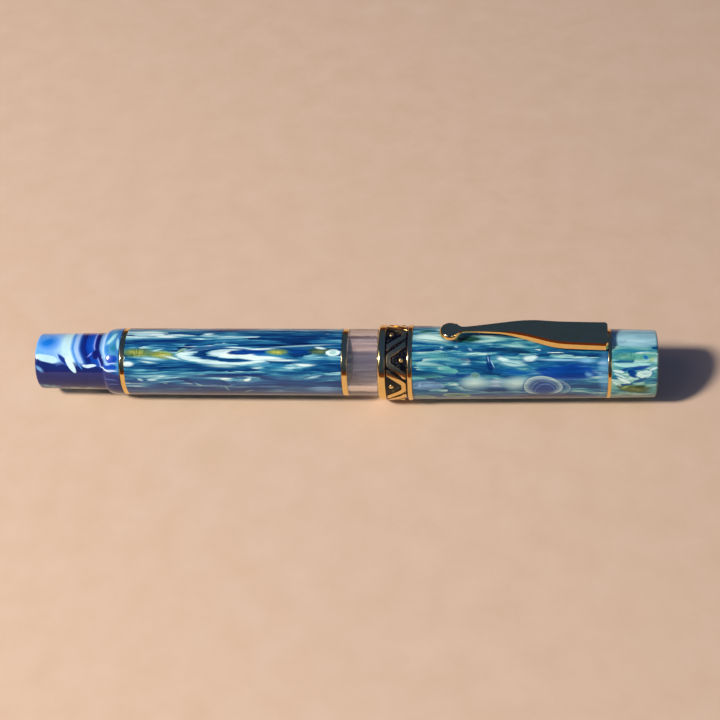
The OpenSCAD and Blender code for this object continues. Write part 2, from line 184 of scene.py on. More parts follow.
class Tree:
    """A short way to write the node tree of a material or a world."""

    def __init__(self, owner):
        owner.use_nodes = True
        self.owner = owner
        self.nodes = owner.node_tree.nodes
        self.links = owner.node_tree.links

    def put(self, socket, value):
        """Links an output to a socket, or sets its value."""
        if isinstance(value, bpy.types.NodeSocket):
            self.links.new(value, socket)
        else:
            socket.default_value = value

    def add(self, kind, inputs=(), **settings):
        node = self.nodes.new(kind)
        for key, value in settings.items():
            setattr(node, key, value)
        for socket, value in dict(inputs).items():
            self.put(node.inputs[socket], value)
        return node

    def math(self, operation, a, b=0.0, c=0.0):
        return self.add("ShaderNodeMath", {0: a, 1: b, 2: c}, operation=operation).outputs[0]

    def vector(self, operation, a, b=(0, 0, 0)):
        node = self.add("ShaderNodeVectorMath", {0: a, 1: b}, operation=operation)
        return node.outputs["Value" if operation in ("LENGTH", "DOT_PRODUCT") else "Vector"]

    def scaled(self, vector, factor):
        node = self.add("ShaderNodeVectorMath", {0: vector, "Scale": factor}, operation="SCALE")
        return node.outputs["Vector"]

    def stretched(self, vector, x, across):
        """Scales a place by one factor along X and by another across it."""
        return self.vector("MULTIPLY", vector, (x, across, across))

    def parts(self, vector):
        return self.add("ShaderNodeSeparateXYZ", {0: vector}).outputs

    def noise(self, place, scale, detail=2.0, roughness=0.5, output="Fac"):
        inputs = {"Vector": place, "Scale": scale, "Detail": detail, "Roughness": roughness}
        return self.add("ShaderNodeTexNoise", inputs).outputs[output]

    def remap(self, value, low, high, to_low=0.0, to_high=1.0, kind="SMOOTHSTEP"):
        inputs = {"Value": value, 1: low, 2: high, 3: to_low, 4: to_high}
        return self.add("ShaderNodeMapRange", inputs, interpolation_type=kind).outputs[0]

    def ramp(self, value, stops):
        """Outputs "Color" and "Alpha" of a ramp. A stop is its place, its colour and maybe its opacity."""
        node = self.add("ShaderNodeValToRGB", {"Fac": value})
        elements = node.color_ramp.elements
        while len(elements) < len(stops):
            elements.new(0.5)
        for element, (position, *colour) in zip(elements, stops):
            element.position = position
            element.color = linear(*colour)
        return node.outputs

    def mix(self, factor, a, b, blend="MIX"):
        inputs = {0: factor, 6: a, 7: b}
        return self.add("ShaderNodeMix", inputs, data_type="RGBA", blend_type=blend).outputs[2]

    def choose(self, switch, a, b):
        """Number a where the switch is 0, and b where it is 1."""
        return self.add("ShaderNodeMix", {0: switch, 2: a, 3: b}).outputs[0]

    def place(self):
        """Object coordinates in millimetres, from the pen's axis above the origin."""
        coordinates = self.add("ShaderNodeTexCoord").outputs["Object"]
        return self.vector("SUBTRACT", self.scaled(coordinates, 1 / MM), (0, 0, AXIS_Z))

    def to_shader(self, **sockets):
        for name, value in sockets.items():
            self.put(self.nodes["Principled BSDF"].inputs[name.replace("_", " ")], value)

    def bump(self, height, distance, strength=1.0):
        node = self.add("ShaderNodeBump",
                        {"Height": height, "Distance": distance * MM, "Strength": strength})
        self.to_shader(Normal=node.outputs["Normal"])


def new_material(name):
    return Tree(bpy.data.materials.new(name))


# ---- Parts of the swirled resin -------------------------------------------------------

def unrolled(tree, place, r, middle):
    """Place along X, and arc length from the top towards the viewer's side, on a turned surface.

    On a flat end they turn into places across and up, so that the swirls run on over it. middle: the
    piece's."""
    x, y, z = tree.parts(place)
    across = tree.math("MULTIPLY", y, -1.0)
    angle = tree.math("ARCTAN2", across, z)
    normal = tree.add("ShaderNodeTexCoord").outputs["Normal"]
    facing = tree.math("ABSOLUTE", tree.parts(normal)[0])
    on_end = tree.math("GREATER_THAN", facing, 0.9)
    along = tree.choose(on_end, x, tree.math("ADD", across, middle))
    around = tree.choose(on_end, tree.math("MULTIPLY", angle, r), z)
    return along, around


def spot(tree, flat, r, x, degrees, half_long, half_wide, tilt=0, curve=0, lean=(0, 0)):
    """Distance from a spot on the unrolled surface, which is 1 on the edge of an oval round it.

    curve bends the oval's long axis into a crescent. lean moves the inner ovals off the centre."""
    local = tree.add("ShaderNodeMapping", {
        "Vector": flat,
        "Location": (x, math.radians(degrees) * r, 0),
        "Rotation": (0, 0, math.radians(tilt)),
        "Scale": (half_long, half_wide, 1e3),
    }, vector_type="TEXTURE").outputs[0]
    if curve:
        along, across, _ = tree.parts(local)
        across = tree.math("MULTIPLY_ADD", tree.math("MULTIPLY", along, along), curve, across)
        local = tree.add("ShaderNodeCombineXYZ", {0: along, 1: across}).outputs[0]
    distance = tree.vector("LENGTH", local)
    if lean != (0, 0):
        distance = tree.math("ADD", distance, tree.vector("DOT_PRODUCT", local, (*lean, 0)))
    return distance


def pool(x, degrees, half_long, half_wide, stops, tilt=0, curve=0, lean=(0, 0), rough=0.8, hatch=0.0):
    """A pool of colour laid over a resin: its place and size, its ramp from the middle out, and how rough
    its edge is. Most pools are the resin's own colours; some broad ones on the underside are painted shade,
    and some are a painted reflection of the floor.

    hatch: strength of fine lines round the pen inside it."""
    where = (x, degrees, half_long, half_wide, tilt, curve, lean)
    return {"where": where, "stops": stops, "rough": rough, "hatch": hatch}


def fading(inner, outer="#3f8fb0", solid=0.6, strength=1.0):
    """Ramp of a pool: one colour that is solid to near its edge and fades there."""
    return [(0.0, inner, strength), (solid, inner, strength), (1.0, outer, 0.0)]


def crisp(inner, outer="#3f8fb0", strength=1.0):
    """Ramp of a pool with a sharp edge and a faint shade round it."""
    return [(0.0, inner, strength), (0.66, inner, strength), (0.80, outer, 0.6 * strength),
            (1.0, outer, 0.0)]


def shell(edge, behind):
    """Ramp of a thin shell in the resin: it grows paler outwards and ends in a sharp edge."""
    return [(0.0, behind, 0.0), (0.55, behind, 0.1), (0.86, edge, 0.8), (0.90, edge, 1.0),
            (0.93, behind, 0.8),
            (1.0, behind, 0.0)]


def banded(tree, flat, r, bands, bend):
    """Colour of bands round the pen, given by their places along X. They swing by bend on the viewer's
    side."""
    x, around, _ = tree.parts(flat)
    start, end = bands[0][0], bands[-1][0]
    swing = tree.remap(around, math.radians(14) * r, math.radians(64) * r, 0.0, -bend)
    along = tree.remap(tree.math("ADD", x, swing), start, end, kind="LINEAR")
    return tree.ramp(along, [((place - start) / (end - start), code) for place, code in bands])["Color"]


def streaks(tree, flowing, grain):
    """Broad, thin and hair-fine streaks. Each is a number round zero."""
    broad = tree.math("SUBTRACT", tree.noise(flowing, 1.0, 2.0), 0.5)
    thin = tree.noise(tree.stretched(flowing, 1.4, 4.2), 1.0, 3.0, 0.65)
    thin = tree.math("MULTIPLY_ADD", thin, grain, -0.5 * grain)
    hair = tree.noise(tree.stretched(flowing, 3.0, 13.0), 1.0, 2.0, 0.6)
    hair = tree.math("MULTIPLY_ADD", hair, 0.42 * grain, -0.21 * grain)
    return broad, thin, hair


def over(tree, colour, flat, r, spec, ragged, ticks, depth, shade):
    """Lays one pool over a colour."""
    distance = spot(tree, flat, r, *spec["where"])
    distance = tree.math("MULTIPLY_ADD", ragged, spec["rough"], distance)
    ramp = tree.ramp(distance, spec["stops"])
    tint = tree.mix(shade, ramp["Color"], depth, "MULTIPLY")
    if spec["hatch"]:
        cut = tree.remap(ticks, 0.36, 0.52, spec["hatch"], 0.0)
        tint = tree.mix(cut, tint, linear(HATCH))
    return tree.mix(ramp["Alpha"], colour, tint)


def resin(name, node, seed, size, lines, sway, tones=(), eyes=(), pools=(), r=None,
          grain=1.0, shade=0.7, bands=(), bend=0.0):
    """Polished swirled resin: soft streaks, cut by layers that have one sharp edge, with pools of colour.

    node: the CAD node it is for. r: radius it is unrolled at, if not the node's.
    size: how far a streak runs along X and round the pen. sway: how much the streaks wander.
    lines: layers round the pen, and per mm along it. tones: ramp from the dark streaks to the pale ones.
    eyes: spots that the layers close round, each with the number of layers. pools: made by pool().
    grain: strength of the thin streaks. shade: how much the streaks show through pools and bands.
    bands: places along X and colours of bands round the pen, which take the place of the tones."""
    tree = new_material(name)
    r = r or radius(node)
    place = tree.place()
    shifted = tree.vector("ADD", place, (seed * 31.7, seed * 17.3, seed * 11.9))
    scaled = tree.stretched(shifted, 1 / size[0], 1 / size[1])
    wander = tree.vector("SUBTRACT", tree.noise(scaled, 0.5, 1.5, output="Color"), (0.5, 0.5, 0.5))
    flowing = tree.vector("ADD", scaled, tree.scaled(wander, sway))
    broad, thin, hair = streaks(tree, flowing, grain)
    x, around = unrolled(tree, place, r, sum(span(node)) / 2)
    flat = tree.add("ShaderNodeCombineXYZ", {0: x, 1: around}).outputs[0]
    flat = tree.vector("ADD", flat, tree.vector("MULTIPLY", wander, (0.10 * size[0], 0.45 * size[1], 0)))

    phase = tree.math("MULTIPLY", around, lines[0] / (2 * math.pi * r))
    phase = tree.math("MULTIPLY_ADD", x, lines[1], phase)
    phase = tree.math("MULTIPLY_ADD", broad, 2.6, phase)
    phase = tree.math("MULTIPLY_ADD", thin, 0.7, phase)
    for *where, rings in eyes:
        phase = tree.math("ADD", phase, tree.remap(spot(tree, flat, r, *where), 0.0, 1.0, rings, 0.0))
    layer = tree.math("SUBTRACT", 0.5, tree.math("FRACT", phase))
    shows = tree.noise(tree.vector("ADD", flowing, (7.1, 3.3, 5.7)), 1.3, 2.0)
    edge = tree.math("MULTIPLY", layer, tree.remap(shows, 0.42, 0.62, 0.03, 0.40))

    value = tree.math("ADD", broad, tree.math("ADD", thin, 0.5))
    value = tree.math("ADD", tree.math("ADD", value, hair), edge)
    depth = tree.ramp(value, [(0.3, "#9fb0c6"), (0.5, "#e0e8ee"), (0.65, "#ffffff")])["Color"]
    if bands:
        colour = tree.mix(shade, banded(tree, flat, r, bands, bend), depth, "MULTIPLY")
    else:
        colour = tree.ramp(value, tones)["Color"]
    ragged = tree.math("MULTIPLY_ADD", hair, 0.8, tree.math("MULTIPLY", thin, 1.1))
    ragged = tree.math("MULTIPLY_ADD", layer, -0.3, ragged)
    ticks = tree.noise(tree.stretched(place, 4.5, 0.8), 1.0, 2.0, 0.7)
    for spec in pools:
        colour = over(tree, colour, flat, r, spec, ragged, ticks, depth, shade)

    wear = tree.noise(place, 0.9, 3.0)
    tree.to_shader(Base_Color=colour, Roughness=tree.remap(wear, 0.3, 0.8, 0.06, 0.13), IOR=1.5)
    tree.to_shader(Coat_Weight=0.2, Coat_Roughness=0.03, Specular_IOR_Level=0.42)
    tree.bump(tree.noise(place, 0.35, 2.0), 0.01, 0.2)
    return tree.owner


# ---- Gold, enamel, clear resin and moulded parts --------------------------------------

def gold(name, colour="#fbd888", roughness=0.10, brushed=0.0):
    """Polished gold plate with faint hairlines and handling marks."""
    tree = new_material(name)
    place = tree.place()
    hair = tree.noise(tree.stretched(place, 9.0, 0.6), 1.4, 3.0)
    marks = tree.noise(place, 0.5, 4.0, 0.6)
    tint = tree.ramp(marks, [(0.3, "#f6cf80"), (0.7, "#ffe29d")])["Color"]
    tree.to_shader(Base_Color=tree.mix(0.5, linear(colour), tint), Metallic=1.0)
    tree.to_shader(Roughness=tree.remap(marks, 0.3, 0.75, roughness, roughness + 0.05))
    tree.bump(hair, 0.004 + 0.02 * brushed, 0.2 + brushed)
    return tree.owner


def enamel(name):
    """Black enamel with a grainy, slightly pitted surface."""
    tree = new_material(name)
    place = tree.place()
    pits = tree.noise(place, 2.6, 4.0, 0.65)
    tree.to_shader(Base_Color=tree.ramp(pits, [(0.35, "#020203"), (0.75, "#0c0c0f")])["Color"])
    tree.to_shader(Roughness=tree.remap(pits, 0.35, 0.75, 0.16, 0.34), Coat_Weight=0.15,
                   Specular_IOR_Level=0.3)
    cells = tree.add("ShaderNodeTexVoronoi", {"Vector": place, "Scale": 1.5, "Randomness": 0.6})
    grains = tree.remap(cells.outputs["Distance"], 0.18, 0.42, 1.0, 0.0)
    tree.bump(tree.math("MULTIPLY_ADD", pits, 0.4, grains), 0.12, 0.8)
    return tree.owner


def clear_resin(name):
    """Clear acrylic with a faint grey cast and darker streaks drawn out along it. It lets lamps through."""
    tree = new_material(name)
    place = tree.place()
    haze = tree.noise(tree.stretched(place, 0.5, 2.5), 1.0, 3.0)
    drawn = tree.noise(tree.stretched(place, 0.04, 0.75), 1.0, 1.0)
    tints = [(0.40, "#d6d0da"), (0.47, "#efecf0"), (0.53, "#fdfcfd"), (0.60, "#e4dfe6")]
    tree.to_shader(Base_Color=tree.ramp(drawn, tints)["Color"],
                   Roughness=tree.remap(haze, 0.3, 0.8, 0.01, 0.04))
    tree.to_shader(IOR=1.49, Transmission_Weight=0.94, Coat_Weight=0.3, Coat_Roughness=0.08)
    tree.bump(haze, 0.01, 0.15)
    solid = tree.nodes["Principled BSDF"].outputs[0]
    through = tree.add("ShaderNodeBsdfTransparent", {"Color": (0.98, 0.97, 0.98, 1)}).outputs[0]
    shadow = tree.add("ShaderNodeLightPath").outputs["Is Shadow Ray"]
    blend = tree.add("ShaderNodeMixShader", {0: shadow, 1: solid, 2: through}).outputs[0]
    tree.put(tree.nodes["Material Output"].inputs["Surface"], blend)
    return tree.owner


def moulded(name, dark, light, roughness=0.4, grain=1.6, metallic=0.0):
    """Moulded plastic, rubber or turned metal with a fine mottled grain."""
    tree = new_material(name)
    place = tree.place()
    mottle = tree.noise(place, grain, 4.0, 0.6)
    rings = tree.noise(tree.stretched(place, 7.0, 0.4), 1.0, 2.0)
    tree.to_shader(Base_Color=tree.ramp(mottle, [(0.3, dark), (0.7, light)])["Color"], Metallic=metallic)
    tree.to_shader(Roughness=tree.remap(rings, 0.3, 0.7, roughness, roughness + 0.12))
    tree.bump(tree.math("ADD", mottle, rings), 0.012, 0.4)
    return tree.owner


# ---- The five resins ------------------------------------------------------------------

PALE = "#b4dfe2"
WHITE = "#dcf4ee"
NAVY = "#0a2f6c"
HATCH = "#12402f"

BARREL_TONES = [
    (0.18, "#071d44"), (0.36, "#0b3468"), (0.48, "#144f80"), (0.59, "#2b7698"), (0.70, "#6aaebe"),
    (0.86, "#dcf4ee"),
]


def barrel_resin():
    glow = [(0.0, "#cfcf62", 1.0), (0.35, "#a9b24e", 1.0), (0.7, "#6f9c66", 0.8), (1.0, "#2f7f7f", 0.0)]
    moss = [(0.0, "#6f7f3a", 0.95), (0.6, "#2f4f3a", 0.9), (1.0, "#1f5f78", 0.0)]
    # painted shade: a muted slate for the underside, where the key lamp does not reach
    painted_underside_shade = [(0.0, "#2a4674", 0.85), (0.7, "#33568a", 0.7), (1.0, "#2f6396", 0.0)]
    ringed = [(0.0, "#9fcfc8", 1.0), (0.4, "#a9d4cc", 1.0), (0.46, WHITE, 1.0), (0.8, WHITE, 1.0),
              (1.0, PALE, 0.0)]
    comet = [
        (0.0, "#0a3a8c", 1.0), (0.22, "#0c3478", 1.0), (0.27, "#e2f7f0", 1.0), (0.46, "#d4f0ec", 1.0),
        (0.50, "#5fa9bc", 1.0), (0.53, "#0b3568", 1.0), (0.68, "#124a82", 1.0), (0.72, "#9fd0d6", 1.0),
        (0.78, "#d4f0ec", 1.0), (0.90, "#d4f0ec", 0.95), (0.94, "#4f9ab0", 0.8), (1.0, "#2f80a0", 0.0),
    ]
    eyes = [
        (-24, 28, 14, 4.2, 2, 0, 1.0),
        (-40, 14, 10, 2.6, -2, 0, 1.0),
        (-21, 78, 9, 2.6, 4, 0, 1.2),
        (-40, 82, 8, 2.6, -4, 0, 1.0),
    ]
    pools = [
        # painted shade laid along the whole underside of the barrel
        pool(-25, 106, 36, 4.6, painted_underside_shade),
        pool(-43, 6, 8.0, 0.7, fading(NAVY, strength=0.9)),
        pool(-26, 67, 12, 0.7, fading(NAVY, strength=0.85), tilt=-1),
        pool(-46.5, -10, 3.0, 0.5, fading(PALE, solid=0.4)),
        pool(-40.4, -4, 3.6, 0.5, fading(WHITE, solid=0.4), tilt=1),
        pool(-31, -13, 1.8, 0.5, fading(WHITE, solid=0.4), tilt=-6),
        pool(-47, 28, 4.8, 1.35, glow, tilt=1, rough=0.5, hatch=0.75),
        pool(-41.5, 32, 4.4, 1.3, glow, tilt=8, rough=0.5, hatch=0.4),
        pool(-42.6, 24, 2.2, 0.35, fading("#a9d8d4", solid=0.3, strength=0.9), tilt=-14, rough=0.4),
        pool(-36.7, 29, 1.9, 1.15, [(0.0, "#c9c95c", 1.0), (0.5, "#a4ab4c", 1.0), (0.7, "#a9cfae", 1.0),
                                    (0.86, "#8fc4b4", 0.9), (1.0, "#2f7f90", 0.0)], tilt=-24, rough=0.25),
        pool(-43.5, 39, 4.4, 0.5, fading(PALE, solid=0.3, strength=0.9), tilt=5),
        pool(-38.6, 38, 3.2, 0.4, fading(WHITE, solid=0.3, strength=0.9), tilt=12),
        pool(-44.6, 44, 3.0, 0.35, fading("#c4e4dc", solid=0.3, strength=0.9), tilt=7),
        pool(-49.3, 47, 1.9, 0.8, fading(WHITE, solid=0.55), rough=0.3),
        pool(-22.0, 26, 9.4, 1.75, comet, tilt=2, lean=(0.34, -0.44), rough=0.16),
        pool(-16.4, 29, 4.8, 1.15, fading("#1660a8", "#2f86a8", 0.7), tilt=2, rough=0.3),
        pool(-20.2, 25, 5.0, 0.75, fading("#0a3a86", "#0f56a0", 0.6), tilt=1, rough=0.3),
        pool(-14.5, 33, 4.4, 0.8, fading("#2f86a8", "#2f86a8", 0.5, 0.9), tilt=2, rough=0.6),
        pool(-18.4, 37, 6.2, 0.6, fading(WHITE, "#5fa9bc", 0.7), tilt=1, rough=0.3),
        pool(-13.6, 40, 5.6, 0.3, fading(WHITE, solid=0.4, strength=0.95), tilt=-1, rough=0.3),
        pool(-30.3, 19, 6.8, 0.55, fading("#15588c", "#2a7ba6", 0.55, 0.94), tilt=-7, curve=-0.9, rough=0.3),
        pool(-15.6, 48, 4.4, 0.75, fading("#2a80a6", "#2f86a8", 0.5, 0.95), tilt=2, rough=0.6),
        pool(-18, 20, 4.6, 0.34, fading(WHITE, solid=0.4), tilt=-3, rough=0.3),
        pool(-9, 14, 9.5, 0.26, fading(PALE, solid=0.4, strength=0.95), tilt=-3, rough=0.3),
        pool(-27, 50, 5.5, 0.55, fading("#b4dedc", solid=0.3, strength=0.9), tilt=1),
        pool(-14.4, 26, 3.2, 0.95, glow, rough=0.4, hatch=0.3),
        pool(-9.4, 25, 3.2, 0.75, fading("#0a3a80", "#1f6f9a", 0.6, 0.95), rough=0.4),
        pool(-4.4, 23, 3.6, 1.2, moss, rough=0.5, hatch=0.8),
        pool(-4.6, 18, 1.8, 0.4, fading(WHITE, solid=0.5), tilt=8, rough=0.3),
        pool(-1.5, 26, 1.8, 0.9, ringed, rough=0.3),
        pool(-8.0, 47, 3.2, 0.5, fading(WHITE, solid=0.4), tilt=2, curve=0.6, rough=0.4),
        pool(-21.2, 76, 1.3, 0.55, fading(WHITE, solid=0.5), tilt=-12, curve=0.5, rough=0.3),
        pool(-46.2, 77, 1.0, 0.5, fading("#b4d8e0", solid=0.4, strength=0.9), tilt=20, rough=0.3),
        pool(-43.4, 77, 1.6, 0.45, fading("#b4d8e0", solid=0.4, strength=0.9), tilt=-4, rough=0.3),
        pool(-33.0, 86, 1.4, 0.35, fading("#9fc9c4", solid=0.4, strength=0.8), tilt=24, curve=0.6,
             rough=0.3),
        pool(-26.5, 96, 1.6, 0.3, fading("#8fb4b4", solid=0.4, strength=0.7), tilt=66, curve=0.5, rough=0.2),
        pool(-21.5, 104, 1.8, 0.28, fading("#9fb4b4", solid=0.4, strength=0.7), tilt=-20, curve=-0.9,
             rough=0.2),
        pool(-6.0, 70, 2.4, 0.35, fading("#a9d4dc", solid=0.4, strength=0.9), tilt=-14, curve=0.4,
             rough=0.4),
        pool(-4.0, 98, 5.0, 1.8, fading("#7fa9cc", "#3f6f9c", 0.3, 0.7)),
    ]
    return resin("barrel_resin", "barrel", seed=1, size=(16.0, 2.6), lines=(12, 0), sway=1.1,
                 tones=BARREL_TONES,
                 eyes=eyes, pools=pools)


def knob_resin():
    bands = [
        (-71.4, "#5fa9f0"), (-67.0, "#84b8f4"), (-65.4, "#a4cff4"), (-64.7, "#c4ecf0"), (-63.2, "#cff2f2"),
        (-62.8, "#84bcee"), (-62.4, "#3186da"), (-62.0, "#9fc8f4"), (-61.3, "#a9cdf4"), (-60.9, "#3f74c8"),
        (-60.5, "#13307e"), (-59.5, "#0f1f74"), (-59.2, "#0d3fa6"), (-58.0, "#0f50b8"), (-57.6, "#2f62c4"),
        (-57.4, "#9fb4f0"), (-57.2, "#3f50ae"), (-57.0, "#14206e"), (-56.3, "#161c66"), (-56.0, "#5f94cc"),
        (-55.5, "#9fc8ee"), (-55.1, "#b4d4f4"), (-54.8, "#4f96dc"), (-54.1, "#2f7cc0"), (-53.2, "#4f9cc4"),
        (-51.0, "#2f6cb8"),
    ]
    # painted shade: deep navy for the knob's lower half, away from the key lamp
    painted_lower_shade = [(0.0, "#171f58", 1.0), (0.80, "#1b2a6c", 1.0), (0.92, "#1d3a88", 0.7), (1.0, "#1d3f96", 0.0)]
    azure = [(0.0, "#1476d6", 1.0), (0.3, "#2180de", 1.0), (0.7, "#5fa2ee", 0.8), (1.0, "#84b8f4", 0.0)]
    pools = [
        pool(-68.6, 0, 3.6, 3.0, azure, rough=0.2),
        # painted shade over the whole lower half of the knob
        pool(-60, 94, 30, 5.5, painted_lower_shade, tilt=10, rough=0.2),
        pool(-68.4, 37, 3.3, 1.05, fading("#bfe6ea", "#84b8f4", 0.75), tilt=3, rough=0.1),
        pool(-64.5, 38, 2.3, 0.55, crisp("#17328a", "#3f70c8"), tilt=50, rough=0.1),
        pool(-62.8, 48, 2.6, 0.72, fading("#cff2f2", "#84bcee", 0.85), tilt=60, rough=0.1),
        pool(-60.6, 52, 1.6, 0.22, fading("#4f9ae4", "#2f5fb0", 0.5, 0.9), tilt=58, rough=0.1),
        pool(-58.4, 57, 2.4, 0.5, crisp("#cfeaf2", "#2f62c4"), tilt=14, curve=1.2, rough=0.1),
        pool(-56.8, 35, 1.0, 1.7, fading("#141c66", "#1f3a9c", 0.6), tilt=12, rough=0.2),
        pool(-58.2, 36, 0.9, 0.22, fading("#8fa4ee", "#2450b0", 0.5, 0.9), tilt=-38, curve=0.8, rough=0.1),
        pool(-53.2, -4, 2.4, 0.8, fading("#a4dce0", "#3f8fc0", 0.5), tilt=-56, curve=0.5, rough=0.2),
        pool(-51.7, 8, 0.5, 2.0, fading("#9fd4de", "#3f8fc0", 0.5), tilt=-8, rough=0.2),
        pool(-52.6, 16, 0.9, 1.2, fading("#2b7f9c", "#2f78b8", 0.5), tilt=-20, rough=0.2),
        pool(-52.9, 38, 1.9, 1.1, fading("#1747b4", "#1f50b0", 0.6), rough=0.2),
        pool(-52.9, 46, 1.9, 0.2, fading("#b9cdf6", "#3f6fd0", 0.5, 0.9), rough=0.1),
        pool(-53.2, 53, 2.2, 0.6, fading("#1b4cb8", "#2f5fc0", 0.6), rough=0.2),
        pool(-53.8, 60, 3.0, 0.26, crisp("#cfe4f6", "#2f5fc0"), tilt=5, curve=1.9, rough=0.1),
        pool(-53.4, 78, 2.4, 0.14, fading("#5f8cc8", "#1f3a80", 0.4, 0.7), tilt=6, curve=1.2, rough=0.1),
        pool(-53.0, 88, 2.2, 0.12, fading("#5f8cc8", "#1f3a80", 0.4, 0.6), tilt=-4, curve=1.2, rough=0.1),
        pool(-70.2, 62, 1.4, 0.8, fading("#7fb4e4", "#2f62b0", 0.3, 0.8), tilt=30, rough=0.3),
        # painted reflection of the floor: a milky grey sheen on the knob's underside
        pool(-68.2, 107, 4.0, 1.3, fading("#7fa8b4", "#2a4a86", 0.3, 0.85), tilt=-6, rough=1.3),
        pool(-61.0, 118, 6.5, 1.2, fading("#8fb0a8", "#2f4a80", 0.3, 0.8), tilt=3, rough=1.2),
        pool(-53.6, 124, 3.6, 1.2, fading("#8fb4b4", "#3f5f90", 0.4, 0.7), rough=0.8),
    ]
    return resin("knob_resin", "piston_knob", seed=2, size=(3.6, 9.0), lines=(0, 0.25), sway=0.9,
                 pools=pools,
                 r=6.6, grain=0.45, shade=0.22, bands=bands, bend=1.9)


